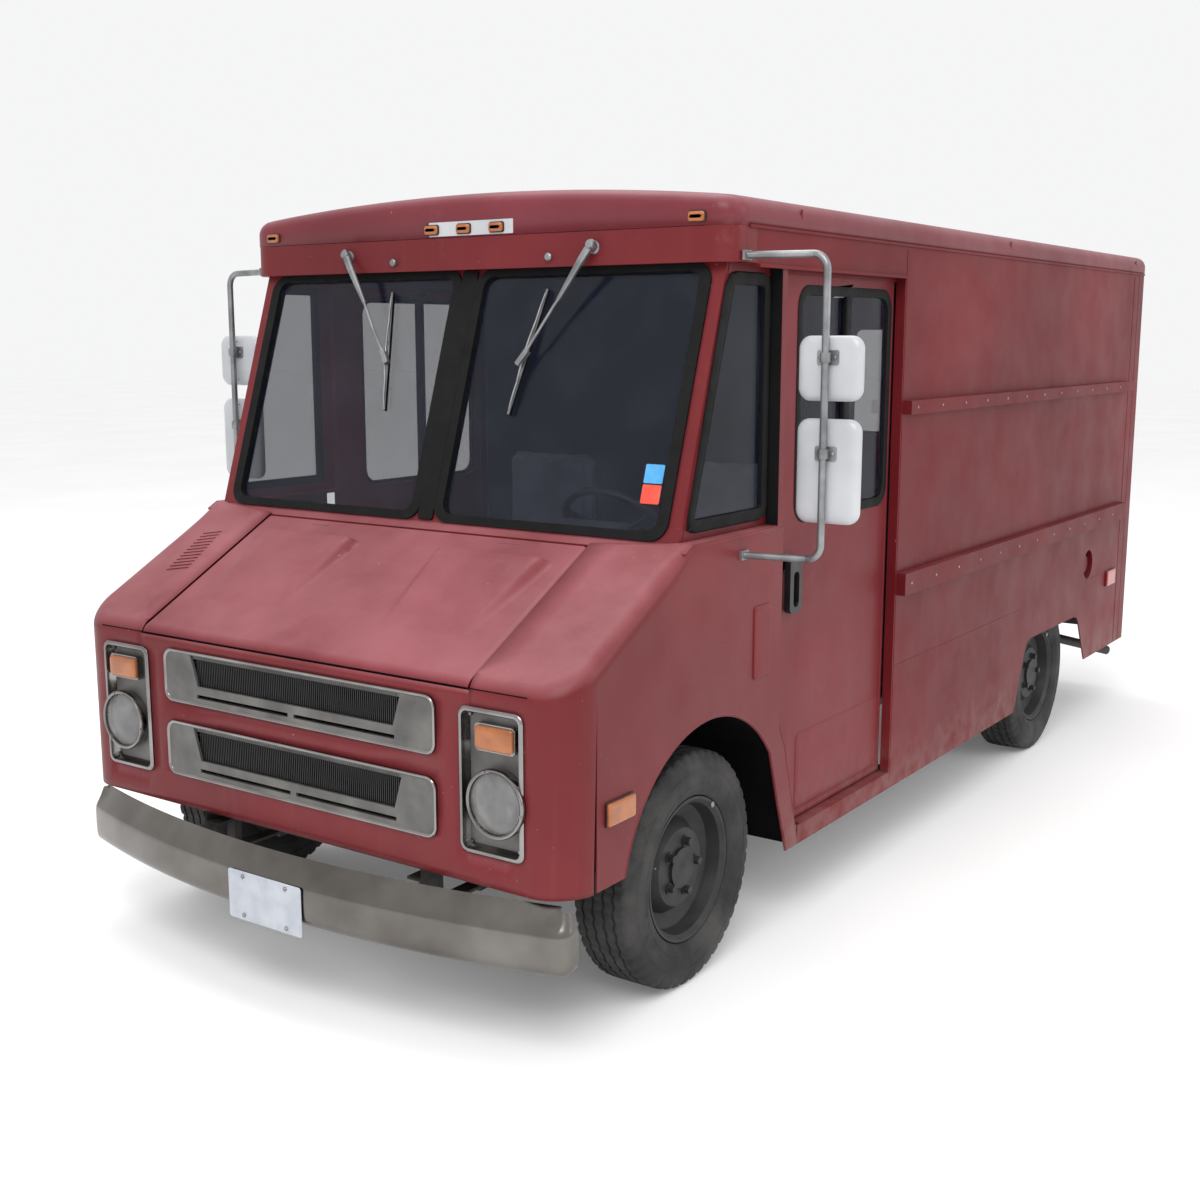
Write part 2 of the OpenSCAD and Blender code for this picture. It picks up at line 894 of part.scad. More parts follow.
module mirror_arm() {
    // feet on the body
    for (foot = [[886, tube_top], [897, tube_low]])
        block([half, foot[0] - 22, foot[1] - 14], [half + 8, foot[0] + 22, foot[1] + 14]);
    rod([half + 4, 886, tube_top], [tube_x - bend, tube_y, tube_top], tube_r);
    rod([half + 4, 897, tube_low], [tube_x - bend, tube_y, tube_low], tube_r);
    for (z = [tube_low, tube_top])
        translate([tube_x - bend, tube_y, z]) sphere(tube_r);
    translate([tube_x - bend, tube_y, tube_top - bend]) rotate([90, 0, 0]) bend_arc();
    translate([tube_x - bend, tube_y, tube_low + bend]) rotate([90, 0, 0]) mirror([0, 1, 0]) bend_arc();
    translate([tube_x, tube_y, tube_low + bend]) cylinder(r = tube_r, h = tube_top - tube_low - 2 * bend);
}

module mirror_arms() {
    color(steel) from_grille() both_sides() mirror_arm();
}

// A dished housing behind the tube, held by a ring clamp
module mirror_head(low, high, clamp_z) {
    w = 101;
    difference() {
        translate([tube_x, tube_y, clamp_z - 14]) cylinder(r = 19, h = 28);
        translate([tube_x, tube_y, clamp_z - 20]) cylinder(r = tube_r + running_gap, h = 40);
    }
    block([tube_x - 12, tube_y + 13, clamp_z - 12], [tube_x + 12, tube_y + 24, clamp_z + 12]);
    along_y(tube_y + 22, tube_y + 50) round_box([tube_x - w, low], [tube_x + w, high], 38);
}

module mirror_upper_left() {
    color(chrome) from_grille() mirror_head(1763, 1950, 1888);
}

module mirror_lower_left() {
    color(chrome) from_grille() mirror_head(1407, 1712, 1613);
}

module mirror_upper_right() {
    color(chrome) mirror([1, 0, 0]) from_grille() mirror_head(1763, 1950, 1888);
}

module mirror_lower_right() {
    color(chrome) mirror([1, 0, 0]) from_grille() mirror_head(1407, 1712, 1613);
}

// ---- cab interior ----

driver_x = 360;
seat_y = 1480;
wheel_centre = [driver_x, 1190, 1290];
column_lean = 48;
pedal_pivot = [driver_x + 60, 840, 1060];

module dashboard() {
    color(black) from_grille() {
        along_x(-880, 880) polygon([
            [615, 1345], [900, 1340], [960, 1310], [950, 1180], [900, 1140], [615, 1140]
        ]);
        along_x(driver_x - 190, driver_x + 190) polygon([[860, 1341], [950, 1360], [975, 1300], [950, 1240], [860, 1240]]);
    }
}

module engine_cover() {
    color(black) from_grille() difference() {
        block([-330, 612, floor_height], [330, 1340, 1082]);
        block([-324, 600, floor_height - 10], [324, 1334, 1076]);
    }
}

module steering_column() {
    color(black) from_grille() {
        translate(wheel_centre) rotate([-column_lean, 0, 0]) {
            translate([0, 0, -520]) cylinder(r = 26, h = 470);
            translate([0, 0, -60]) cylinder(r = 12, h = 70);
        }
        translate(wheel_centre) rotate([-column_lean, 0, 0])
            translate([0, 0, -690]) cylinder(r = 14, h = 180);
        block([driver_x - 20, 905, 1040], [driver_x + 20, 935, 1143]);
        // pedal pin and its bracket on the firewall
        translate(pedal_pivot - [60, 0, 0]) rotate([0, 90, 0]) cylinder(r = 8, h = 120);
        for (dx = [-60, 44])
            block(pedal_pivot + [dx, -230, -12], pedal_pivot + [dx + 16, 12, 80]);
    }
}

module steering_wheel() {
    color(black) from_grille() translate(wheel_centre) rotate([-column_lean, 0, 0]) {
        rotate_extrude($fn = 64) translate([205, 0]) circle(14, $fn = 24);
        difference() {
            union() {
                translate([0, 0, -45]) cylinder(r = 38, h = 60);
                for (a = [90, 210, 330])
                    rotate([0, 0, a]) block([30, -14, -16], [198, 14, -6]);
            }
            translate([0, 0, -50]) cylinder(r = 12 + running_gap, h = 60.5);
        }
    }
}

module brake_pedal() {
    color(steel) from_grille() {
        difference() {
            union() {
                rod(pedal_pivot, pedal_pivot + [0, 70, -300], 9);
                translate(pedal_pivot - [15, 0, 0]) rotate([0, 90, 0]) cylinder(r = 16, h = 30);
            }
            translate(pedal_pivot - [20, 0, 0]) rotate([0, 90, 0]) cylinder(r = 8 + running_gap, h = 40);
        }
        translate(pedal_pivot + [0, 74, -300]) rotate([-35, 0, 0]) block([-35, -8, -30], [35, 8, 30]);
    }
}

module seat_pedestals() {
    color(steel) from_grille() for (x = [driver_x, -driver_x - 60]) {
        block([x - 150, seat_y + 50, floor_height], [x + 150, seat_y + 350, 970]);
        block([x - 210, seat_y, 970], [x + 210, seat_y + 430, 995]);
        for (dx = [-180, 160])
            block([x + dx, seat_y + 432, 970], [x + dx + 20, seat_y + 460, 1420]);
        block([x - 180, seat_y + 420, 970], [x + 180, seat_y + 460, 995]);
    }
}

module seat_cushions() {
    color(black) from_grille() for (x = [driver_x, -driver_x - 60])
        translate([0, 0, 996]) linear_extrude(110) round_box([x - 225, seat_y - 30], [x + 225, seat_y + 425], 60);
}

module seat_backs() {
    color(black) from_grille() for (x = [driver_x, -driver_x - 60])
        along_y(seat_y + 330, seat_y + 430) round_box([x - 220, 1110], [x + 220, 1500], 70);
}

// ---- engine bay and driveline ----

fan_z = 760;

module engine() {
    color(steel) from_grille() {
        block([-200, 290, 560], [200, 930, 900]);
        both_sides() block([120, 320, 880], [270, 900, 990]);
        block([-150, 340, 470], [150, 900, 560]);
        translate([0, 600, 990]) cylinder(r = 170, h = 80);
        rod([0, 930, 620], [0, 1130, 600], 190);
        block([-130, 1100, 420], [130, 1500, 600]);
        rod([0, 1490, 497], [0, 1598, 492], 60);
        both_sides() block([190, 500, 556], [rail_x, 560, rail_high]);
        translate([0, 268, fan_z]) rotate([-90, 0, 0]) cylinder(r = 60, h = 30);
        translate([0, 222, fan_z]) rotate([-90, 0, 0]) cylinder(r = 12, h = 60);
        translate([0, 262, 600]) rotate([-90, 0, 0]) cylinder(r = 80, h = 30);
    }
}

module radiator() {
    color(steel) from_grille() {
        block([-290, 130, 500], [290, 176, 980]);
        block([-310, 122, 960], [310, 184, 1020]);
        block([-310, 122, 470], [310, 184, 505]);
        both_sides() block([290, 124, 440], [rail_x, 150, 520]);
    }
}

module cooling_fan() {
    color(black) from_grille() translate([0, 0, fan_z]) difference() {
        union() {
            translate([0, 206, 0]) rotate([-90, 0, 0]) cylinder(r = 45, h = 40);
            for (i = [0 : 5])
                rotate([0, i * 60, 0]) translate([0, 226, 0]) rotate([0, 0, 24]) block([-3, -24, 30], [3, 24, 215]);
        }
        translate([0, 216, 0]) rotate([-90, 0, 0]) cylinder(r = 12 + running_gap, h = 60);
    }
}

shaft_front = [0, 1603, 492];
shaft_rear = [0, rear_axle_y - 203, 395];

module driveshaft() {
    d = shaft_rear - shaft_front;
    run = norm(d);
    color(steel) from_grille() translate(shaft_front) rotate([-90 - atan2(-d.z, d.y), 0, 0]) {
        translate([0, 0, 60]) cylinder(r = 38, h = run - 120);
        translate([0, 0, 2]) cylinder(r = 45, h = 16);
        translate([0, 0, run - 18]) cylinder(r = 45, h = 16);
        for (z = [18, run - 62])
            for (x = [-38, 22])
                translate([x, -20, z]) cube([16, 40, 44]);
        for (z = [40, run - 40])
            translate([-30, 0, z]) rotate([0, 90, 0]) cylinder(r = 12, h = 60);
    }
}

module rear_axle() {
    color(steel) from_grille() translate([0, rear_axle_y, hub_z]) {
        difference() {
            union() {
                translate([-700, 0, 0]) rotate([0, 90, 0]) cylinder(r = 45, h = 1400);
                translate([0, -60, 0]) rotate([-90, 0, 0]) cylinder(r = 150, h = 130);
                rod([0, -60, 23.5], [0, -198, 30], 62);
            }
            both_sides() translate([600, 0, 0]) rotate([0, 90, 0]) cylinder(r = 22 + running_gap, h = 120);
        }
        both_sides() difference() {
            translate([688, 0, 0]) rotate([0, 90, 0]) cylinder(r = 140, h = 8);
            translate([680, 0, 0]) rotate([0, 90, 0]) cylinder(r = 43, h = 20);
        }
    }
}

module front_axle() {
    color(steel) from_grille() translate([0, front_axle_y, 0]) {
        difference() {
            union() {
                block([-680, -32, 328], [680, 32, 396]);
                both_sides() block([660, -24, 328], [kingpin_offset, 24, 396]);
                both_sides() translate([kingpin_offset, 0, 320]) cylinder(r = 28, h = 90);
            }
            both_sides() block([-690, -60, 340], [660, -12, 384]);
            both_sides() block([-690, 12, 340], [660, 60, 384]);
            both_sides() translate([kingpin_offset, 0, 300]) cylinder(r = 15 + running_gap, h = 140);
        }
    }
}

// A pack of three leaves with an eye at each end, under a frame rail
module spring_pack(y, z, reach) {
    for (i = [0 : 2])
        block([rail_x + 2, y - reach + i * 170, z - 9 * i - 9], [rail_x + 54, y + reach - i * 170, z - 9 * i]);
    for (end = [-reach, reach])
        translate([rail_x + 2, y + end, z - 2]) rotate([0, 90, 0]) cylinder(r = 18, h = 52);
    for (end = [-reach, reach])
        block([rail_x + 10, y + end - 14, z - 4], [rail_x + 46, y + end + 14, rail_low - 1]);
}

module leaf_springs() {
    color(steel) from_grille() both_sides() {
        spring_pack(front_axle_y, 328, 560);
        spring_pack(rear_axle_y, hub_z - 45, 640);
    }
}

module knuckle() {
    y = front_axle_y;
    translate([kingpin_offset, y, 290]) cylinder(r = 15, h = 150);
    block([kingpin_offset - 25, y - 28, 415], [790, y + 28, 440]);
    block([kingpin_offset - 25, y - 28, 290], [790, y + 28, 315]);
    block([774, y - 28, 290], [790, y + 28, 440]);
    translate([785, y, hub_z]) rotate([0, 90, 0]) cylinder(r = 22, h = 112);
    translate([788, y, hub_z]) rotate([0, 90, 0]) cylinder(r = 130, h = 6);
    block([kingpin_offset - 14, y, 290], [kingpin_offset + 14, y + 160, 304]);
    translate([kingpin_offset, y + 160, 290]) cylinder(r = 18, h = 14);
    translate([kingpin_offset, y + 160, 248]) cylinder(r = 8, h = 46);
}

module knuckle_left() {
    color(steel) from_grille() knuckle();
}

module knuckle_right() {
    color(steel) mirror([1, 0, 0]) from_grille() knuckle();
}

tie_rod_z = 266;

module tie_rod() {
    y = front_axle_y + 160;
    color(steel) from_grille() difference() {
        union() {
            translate([-kingpin_offset, y, tie_rod_z]) rotate([0, 90, 0]) cylinder(r = 12, h = 2 * kingpin_offset);
            both_sides() translate([kingpin_offset, y, tie_rod_z - 15]) cylinder(r = 19, h = 30);
        }
        translate([kingpin_offset, y, tie_rod_z - 25]) cylinder(r = 8 + running_gap, h = 50);
        translate([-kingpin_offset, y, tie_rod_z - 25]) cylinder(r = 9.5, h = 50);
    }
}

module exhaust() {
    color(steel) from_grille() {
        pipe([[272, 700, 800], [282, 760, 720], [284, 1000, 540], [300, 1300, 380], [556, 1900, 380], [560, 2300, 440]], 24);
        rod([560, 2290, 440], [560, 2990, 440], 80);
        pipe([[560, 2980, 440], [590, 3500, 500], [590, 4300, 520], [680, 4700, 390], [930, 5120, 255]], 24);
    }
}

module fuel_tank() {
    color(steel) from_grille() {
        along_x(-370, 370) round_box([4540, 360], [5060, 578], 40);
        for (y = [4640, 4920])
            block([-rail_x, y, 560], [rail_x, y + 40, 584]);
    }
}

// ---- wheels ----

rim_r = 222;

// Section of the steel rim, drawn as radius against distance outwards along the axle
module rim_section() {
    polygon([
        [rim_r, 78], [rim_r, 84], [rim_r - 8, 84], [rim_r - 20, 72], [rim_r - 30, 30],
        [150, 10], [120, 50], [60, 52], [60, 44], [112, 42], [140, 2],
        [rim_r - 30, -40], [rim_r - 20, -74], [rim_r, -78], [rim_r, -72], [rim_r - 14, -68],
        [rim_r - 22, -38], [rim_r - 24, 26], [rim_r - 14, 68]
    ]);
}

module rim() {
    rotate([0, 90, 0]) {
        rotate_extrude($fn = 96) rim_section();
        for (i = [0 : 4])
            rotate([0, 0, i * 72 + 18]) translate([81, 0, 44]) {
                cylinder(r = 13, h = 30, $fn = 6);
                cylinder(r = 17, h = 12);
            }
    }
}

// Hub and drum that join a rim to its spindle or shaft
module hub(bore) {
    rotate([0, 90, 0]) difference() {
        union() {
            translate([0, 0, -62]) cylinder(r = 128, h = 70);
            translate([0, 0, 0]) cylinder(r = 62, h = 62);
        }
        translate([0, 0, -70]) cylinder(r = bore, h = 120);
    }
}

module tyre() {
    w = tyre_width / 2;
    r = tyre_diameter / 2;
    rotate([0, 90, 0]) rotate_extrude($fn = 96) difference() {
        union() {
            translate([rim_r - 6, -w + 12]) square([r - rim_r + 6 - 14, 2 * w - 24]);
            translate([rim_r + 30, -w]) square([r - rim_r - 70, 2 * w]);
            translate([rim_r + 30, -w + 30]) circle(30);
            translate([rim_r + 30, w - 30]) circle(30);
            translate([r - 42, -w + 40]) circle(40);
            translate([r - 42, w - 40]) circle(40);
            translate([r - 60, -w + 40]) square([60, 2 * w - 80]);
        }
        translate([0, -w - 1]) square([rim_r + 1, 2 * w + 2]);
    }
}

module front_wheel_place() {
    from_grille() translate([wheel_offset, front_axle_y, hub_z]) children();
}

module rear_wheel_place() {
    from_grille() translate([wheel_offset, rear_axle_y, hub_z]) children();
}

module wheel_front_left() {
    color(steel) front_wheel_place() {
        rim();
        hub(22 + running_gap);
    }
}

module wheel_front_right() {
    color(steel) mirror([1, 0, 0]) front_wheel_place() {
        rim();
        hub(22 + running_gap);
    }
}

module tyre_front_left() {
    color(black) front_wheel_place() tyre();
}

module tyre_front_right() {
    color(black) mirror([1, 0, 0]) front_wheel_place() tyre();
}

module rear_wheels() {
    color(steel) both_sides() rear_wheel_place() {
        rim();
        rotate([0, 90, 0]) {
            translate([0, 0, -160]) cylinder(r = 128, h = 168);
            cylinder(r = 62, h = 62);
            translate([0, 0, -255]) cylinder(r = 22, h = 100);
        }
    }
}

module rear_tyres() {
    color(black) both_sides() rear_wheel_place() tyre();
}

chassis_frame();
floor();
side_left();
side_right();
roof();
cab_front();
fenders();
grille_panel();
front_bumper();
grilles();
headlamps();
marker_lamps();
fixed_glass();
window_gaskets();
rear_frame();
rear_bumper();
dashboard();
engine_cover();
engine();
radiator();
exhaust();
fuel_tank();
rear_axle();
front_axle();
leaf_springs();
steering_column();
licence_plate();
mirror_arms();
seat_pedestals();
seat_cushions();
seat_backs();
hood();
door_left();
door_right();
door_pane_left();
door_pane_right();
door_handle_left();
door_handle_right();
rear_door_left();
rear_door_right();
rear_latch();
wiper_left();
wiper_right();
mirror_upper_left();
mirror_lower_left();
mirror_upper_right();
mirror_lower_right();
steering_wheel();
knuckle_left();
knuckle_right();
tie_rod();
driveshaft();
cooling_fan();
brake_pedal();
wheel_front_left();
wheel_front_right();
tyre_front_left();
tyre_front_right();
rear_wheels();
rear_tyres();
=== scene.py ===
from math import asin, cos, exp, hypot, pi, radians, sin, sqrt, tan

import bmesh
import bpy
from mathutils import Matrix, Vector
from mathutils.geometry import tessellate_polygon


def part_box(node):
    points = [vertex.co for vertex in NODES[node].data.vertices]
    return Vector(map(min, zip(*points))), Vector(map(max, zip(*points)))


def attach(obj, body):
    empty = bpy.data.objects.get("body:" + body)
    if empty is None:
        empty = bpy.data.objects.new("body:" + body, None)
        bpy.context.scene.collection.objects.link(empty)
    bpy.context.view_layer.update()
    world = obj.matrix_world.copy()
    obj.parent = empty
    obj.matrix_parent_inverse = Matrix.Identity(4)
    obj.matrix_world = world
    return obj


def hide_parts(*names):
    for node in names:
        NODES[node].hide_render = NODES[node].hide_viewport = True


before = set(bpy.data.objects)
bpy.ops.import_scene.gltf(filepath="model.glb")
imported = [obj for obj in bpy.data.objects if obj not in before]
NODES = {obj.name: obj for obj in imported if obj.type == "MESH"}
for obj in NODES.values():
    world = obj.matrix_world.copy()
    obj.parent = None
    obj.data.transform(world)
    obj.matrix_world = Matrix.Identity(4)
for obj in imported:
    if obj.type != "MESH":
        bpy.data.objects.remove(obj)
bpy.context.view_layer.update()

SIDES = (("left", 1), ("right", -1))
GRILLE_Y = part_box("grille_panel")[0].y      # the grille face; lengths below are measured back from it
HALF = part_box("side_left")[1].x - 0.032     # half the width over the side sheets, inside the belt rails


def at(x, y, z):
    """A point given across, back from the grille face, and up from the road."""
    return Vector((x, y + GRILLE_Y, z))


def new_object(name, data):
    o = bpy.data.objects.new(name, data)
    bpy.context.scene.collection.objects.link(o)
    return o


# ---- camera ----
cam = new_object("camera", bpy.data.cameras.new("camera"))
cam.data.sensor_width = 36
cam.data.lens = 44.04
cam.data.shift_x = -0.0004
cam.data.shift_y = -0.0021
cam.data.clip_end = 200
AZ, EL = radians(34.69), radians(10.09)
BACK = Vector((sin(AZ) * cos(EL), -cos(AZ) * cos(EL), sin(EL)))
cam.location = (3.1292, -5.5253, 1.948)
cam.rotation_mode = "QUATERNION"
cam.rotation_quaternion = (-BACK).to_track_quat("-Z", "Y")
bpy.context.scene.camera = cam


# ---- materials ----
def lin(r, g, b):
    """A display colour, 0 to 255, as a linear one."""
    return tuple(((c / 255 + 0.055) / 1.055) ** 2.4 if c > 10 else c / 255 / 12.92 for c in (r, g, b)) + (1,)


class Mat:
    """A node material: its colour, roughness and bump are mixed from noises in the row frame."""

    def __init__(self, name, rough=0.5, metal=0.0, coat=0.0, spec=0.5):
        self.m = bpy.data.materials.new(name)
        self.m.use_nodes = True
        self.t = self.m.node_tree
        self.b = self.t.nodes["Principled BSDF"]
        self.set(self.b, {"Roughness": rough, "Metallic": metal, "Coat Weight": coat, "Coat Roughness": 0.12,
                          "Specular IOR Level": spec})
        self.co = self.new("TexCoord").outputs["Object"]
        sep = self.new("SeparateXYZ")
        self.link(self.co, sep.inputs[0])
        self.x, _, self.z = sep.outputs
        normal = self.new("SeparateXYZ")
        self.link(self.new("NewGeometry").outputs["Normal"], normal.inputs[0])
        self.nz = normal.outputs[2]
        self.height = None

    def new(self, kind):
        return self.t.nodes.new("ShaderNode" + kind)

    def set(self, node, values):
        for key, value in values.items():
            node.inputs[key].default_value = value

    def link(self, a, b):
        self.t.links.new(a, b)

    def put(self, socket, value):
        if isinstance(value, bpy.types.NodeSocket):
            self.link(value, socket)
        else:
            socket.default_value = value

    def noise(self, scale, detail=4.0, stretch=(1, 1, 1), rough=0.5):
        m, n = self.new("Mapping"), self.new("TexNoise")
        self.link(self.co, m.inputs["Vector"])
        self.set(m, {"Scale": stretch})
        self.link(m.outputs[0], n.inputs["Vector"])
        self.set(n, {"Scale": scale, "Detail": detail, "Roughness": rough})
        return n.outputs["Fac"]

    def fade(self, value, a, b, lo=0.0, hi=1.0):
        """value mapped from a..b to lo..hi, clamped."""
        n = self.new("MapRange")
        self.put(n.inputs["Value"], value)
        self.set(n, {"From Min": a, "From Max": b, "To Min": lo, "To Max": hi})
        return n.outputs[0]

    def math(self, op, a, b=0.0):
        n = self.new("Math")
        n.operation = op
        self.put(n.inputs[0], a)
        self.put(n.inputs[1], b)
        return n.outputs[0]

    def times(self, *values):
        out = values[0]
        for v in values[1:]:
            out = self.math("MULTIPLY", out, v)
        return out

    def mix(self, fac, a, b):
        """Two colours mixed; a colour is a socket or display values, 0 to 255."""
        n = self.new("Mix")
        n.data_type = "RGBA"
        for key, value in (("Factor", fac), ("A", a), ("B", b)):
            self.put(n.inputs[key], lin(*value) if isinstance(value, tuple) else value)
        return n.outputs["Result"]

    def bump(self, value, strength, distance):
        n = self.new("Bump")
        self.set(n, {"Strength": strength, "Distance": distance})
        self.link(value, n.inputs["Height"])
        if self.height is not None:
            self.link(self.height, n.inputs["Normal"])
        self.height = n.outputs[0]
        return self

    def done(self, colour, rough=None):
        self.put(self.b.inputs["Base Color"], colour)
        if rough is not None:
            self.put(self.b.inputs["Roughness"], rough)
        if self.height is not None:
            self.link(self.height, self.b.inputs["Normal"])
        return self.m


def paint(name, dark, light, chalk, up=0.7, streaks=0.6, spec=0.24, inner=None, inner_x=1.0, inner_z=9.0):
    """Old enamel: uneven tone, chalky where the sky sees it, washed streaks and road dust low down.
    Faces nearer the middle than inner_x, and lower than inner_z, take the inner colour."""
    m = Mat(name, coat=0.04, spec=spec)
    tone = m.mix(m.fade(m.noise(1.3, 6), 0.36, 0.64), dark, light)
    tone = m.mix(m.fade(m.noise(9, 5), 0.45, 0.75, 0, 0.3), tone, dark)
    upward = m.fade(m.nz, 0.3, 0.95)
    sky = m.times(upward, m.fade(m.noise(2.6, 7, rough=0.62), 0.32, 0.66, 0.35, 1.0), up)
    tone = m.mix(sky, tone, chalk)
    run = m.fade(m.noise(1.0, 7, (20, 20, 1.1), 0.6), 0.54, 0.78)
    low = m.fade(m.z, 0.3, 0.95, 0.8, 0.1)
    tone = m.mix(m.times(run, low, streaks), tone, chalk)
    patch = m.fade(m.noise(3.4, 10, rough=0.74), 0.6, 0.76, 0, 0.5)
    tone = m.mix(m.times(patch, streaks), tone, chalk)
    chips = m.fade(m.noise(75, 3), 0.735, 0.77)
    tone = m.mix(m.times(chips, 0.45), tone, (170, 140, 138))
    dust = m.times(m.fade(m.z, 0.26, 0.5, 0.45, 0.0), m.fade(m.noise(14, 6), 0.35, 0.65))
    tone = m.mix(dust, tone, (128, 108, 102))
    if inner:
        inside = m.fade(m.math("ABSOLUTE", m.x), inner_x, inner_x + 0.0005, 1, 0)
        hidden = m.times(inside, m.fade(m.z, inner_z, inner_z + 0.001, 1, 0))
        tone = m.mix(hidden, tone, inner)
    m.bump(m.noise(260, 2), 0.05, 0.0005).bump(m.noise(1.7, 2), 0.2, 0.006)
    rough = m.math("ADD", m.fade(m.noise(5, 5), 0.3, 0.7, 0.36, 0.5), m.times(sky, 0.14))
    return m.done(tone, rough)


def plain(name, a, b, scale, rough, metal=0.0, grain=220.0, depth=0.0004, strength=0.25, coat=0.0, spec=0.5,
          dust=0.0, dust_z=0.6):
    """Two tones mottled together, uneven roughness, fine grain, and dust that settles on top and low down."""
    m = Mat(name, metal=metal, coat=coat, spec=spec)
    tone = m.mix(m.fade(m.noise(scale, 5), 0.35, 0.65), a, b)
    if dust:
        settled = m.math("MAXIMUM", m.fade(m.nz, 0.2, 1.0, 0, 0.8), m.fade(m.z, 0.1, dust_z, 0.7, 0.0))
        patchy = m.fade(m.noise(19, 6), 0.3, 0.7, 0.3, 1.0)
        tone = m.mix(m.times(settled, patchy, dust), tone, (140, 130, 118))
    m.bump(m.noise(grain, 3), strength, depth)
    return m.done(tone, m.fade(m.noise(scale * 1.7, 5), 0.3, 0.7, *rough))


RED_D, RED_L, CHALK = (92, 22, 26), (108, 31, 35), (146, 86, 90)
INSIDE = (84, 90, 104)
BODY = paint("body_paint_side", RED_D, RED_L, CHALK, 0.35, 0.2, 0.1, INSIDE, 0.93)
REAR = paint("body_paint_rear", RED_D, RED_L, CHALK, 0.35, 0.2, 0.1)
CAB = paint("body_paint_cab", RED_D, RED_L, CHALK, 0.9)
HOOD = paint("body_paint_hood", (100, 32, 38), (118, 46, 52), (154, 94, 100), 0.7, 0.4)
NOSE = paint("body_paint_nose", (96, 25, 29), (112, 35, 39), (158, 98, 104), 0.78, 0.15)
DOOR = paint("body_paint_door", (100, 33, 37), (116, 45, 49), (150, 96, 99), 0.4, 0.3, 0.14)
ROOF = paint("body_paint_roof", (100, 38, 44), (116, 48, 56), (150, 104, 112), 0.45, 0.4, 0.24,
             INSIDE, 0.991, 2.262)
BLACK = plain("black_rubber", (8, 8, 9), (14, 14, 15), 12, (0.6, 0.75), grain=300, spec=0.2)
VOID = plain("deep_black", (4, 4, 5), (7, 7, 8), 9, (0.85, 0.95), spec=0.08)
CHROME = plain("chrome", (150, 148, 146), (122, 119, 117), 5, (0.12, 0.3), metal=1.0, grain=30, depth=0.0006,
               strength=0.1, dust=0.15, dust_z=0.45)
BUMPER = plain("bumper_chrome", (120, 117, 113), (92, 88, 84), 3.5, (0.12, 0.24), metal=1.0, grain=30,
               depth=0.0006, strength=0.1, dust=0.25, dust_z=0.36)
AGED = plain("aged_alloy", (88, 86, 84), (112, 110, 107), 8, (0.4, 0.6), metal=0.55, grain=260, dust=0.15)
TRIM = plain("satin_metal", (150, 151, 153), (118, 119, 121), 14, (0.3, 0.48), metal=0.8, grain=400)
STEEL = plain("dark_steel", (34, 34, 36), (50, 49, 48), 10, (0.5, 0.75), grain=90, depth=0.001, dust=0.3)
RIM = plain("wheel_steel", (20, 20, 21), (31, 31, 32), 11, (0.5, 0.66), grain=160, dust=0.06, dust_z=0.5)
IRON = plain("cast_iron", (44, 43, 42), (62, 58, 54), 12, (0.65, 0.85), grain=120, depth=0.0012,
             strength=0.5, dust=0.2)
ALLOY = plain("radiator_metal", (60, 61, 64), (86, 87, 90), 10, (0.4, 0.6), metal=0.7, dust=0.3)
PLASTIC = plain("black_plastic", (17, 17, 19), (26, 26, 28), 16, (0.34, 0.5), grain=520, dust=0.08)
DASH = plain("dash_plastic", (62, 68, 82), (78, 84, 98), 7, (0.45, 0.62), grain=650, depth=0.0005,
             strength=0.5, dust=0.1)
SHELL = plain("mirror_shell", (168, 170, 173), (184, 186, 189), 4, (0.3, 0.42), grain=500, coat=0.2)
PLATE = plain("plate_enamel", (182, 186, 194), (164, 169, 179), 16, (0.3, 0.42), coat=0.2, dust=0.15)
REFLECT = plain("mirror_glass", (185, 188, 192), (170, 174, 180), 3, (0.03, 0.08), metal=1.0)
SKY_BLUE = plain("sticker_blue", (66, 150, 206), (84, 166, 216), 30, (0.4, 0.5))
ORANGE = plain("sticker_orange", (214, 70, 50), (226, 88, 68), 30, (0.4, 0.5))


def lens(name, a, b, ribs):
    """Moulded lens plastic with fine ribs along one axis."""
    m = Mat(name, rough=0.16, coat=0.5)
    w = m.new("TexWave")
    w.bands_direction = ribs
    m.link(m.co, w.inputs["Vector"])
    w.inputs["Scale"].default_value = 60
    m.bump(w.outputs["Fac"], 0.5, 0.0015)
    return m.done(m.mix(m.fade(m.noise(20, 3), 0.35, 0.65), a, b))


AMBER = lens("lens_amber", (142, 74, 20), (164, 92, 32), "X")
RED = lens("lens_red", (150, 22, 20), (176, 34, 28), "Z")


def tyre_rubber():
    """Worn black rubber with road dust in patches."""
    m = Mat("tyre_rubber", spec=0.3)
    tone = m.mix(m.fade(m.noise(7, 6), 0.35, 0.65), (38, 38, 38), (52, 51, 51))
    tone = m.mix(m.times(m.fade(m.noise(3.5, 8, rough=0.7), 0.45, 0.7), 0.4), tone, (84, 82, 79))
    m.bump(m.noise(420, 3), 0.35, 0.0006)
    return m.done(tone, m.fade(m.noise(15, 4), 0.3, 0.7, 0.68, 0.9))


TYRE = tyre_rubber()


def vinyl():
    """Pale blue-grey seat cover with a leather grain."""
    m = Mat("seat_vinyl", spec=0.45)
    v = m.new("TexVoronoi")
    m.link(m.co, v.inputs["Vector"])
    v.inputs["Scale"].default_value = 420
    tone = m.mix(m.fade(m.noise(6, 5), 0.35, 0.65), (96, 102, 118), (122, 128, 142))
    m.bump(v.outputs["Distance"], 0.4, 0.0006)
    return m.done(tone, m.fade(m.noise(12, 4), 0.3, 0.7, 0.38, 0.6))


VINYL = vinyl()


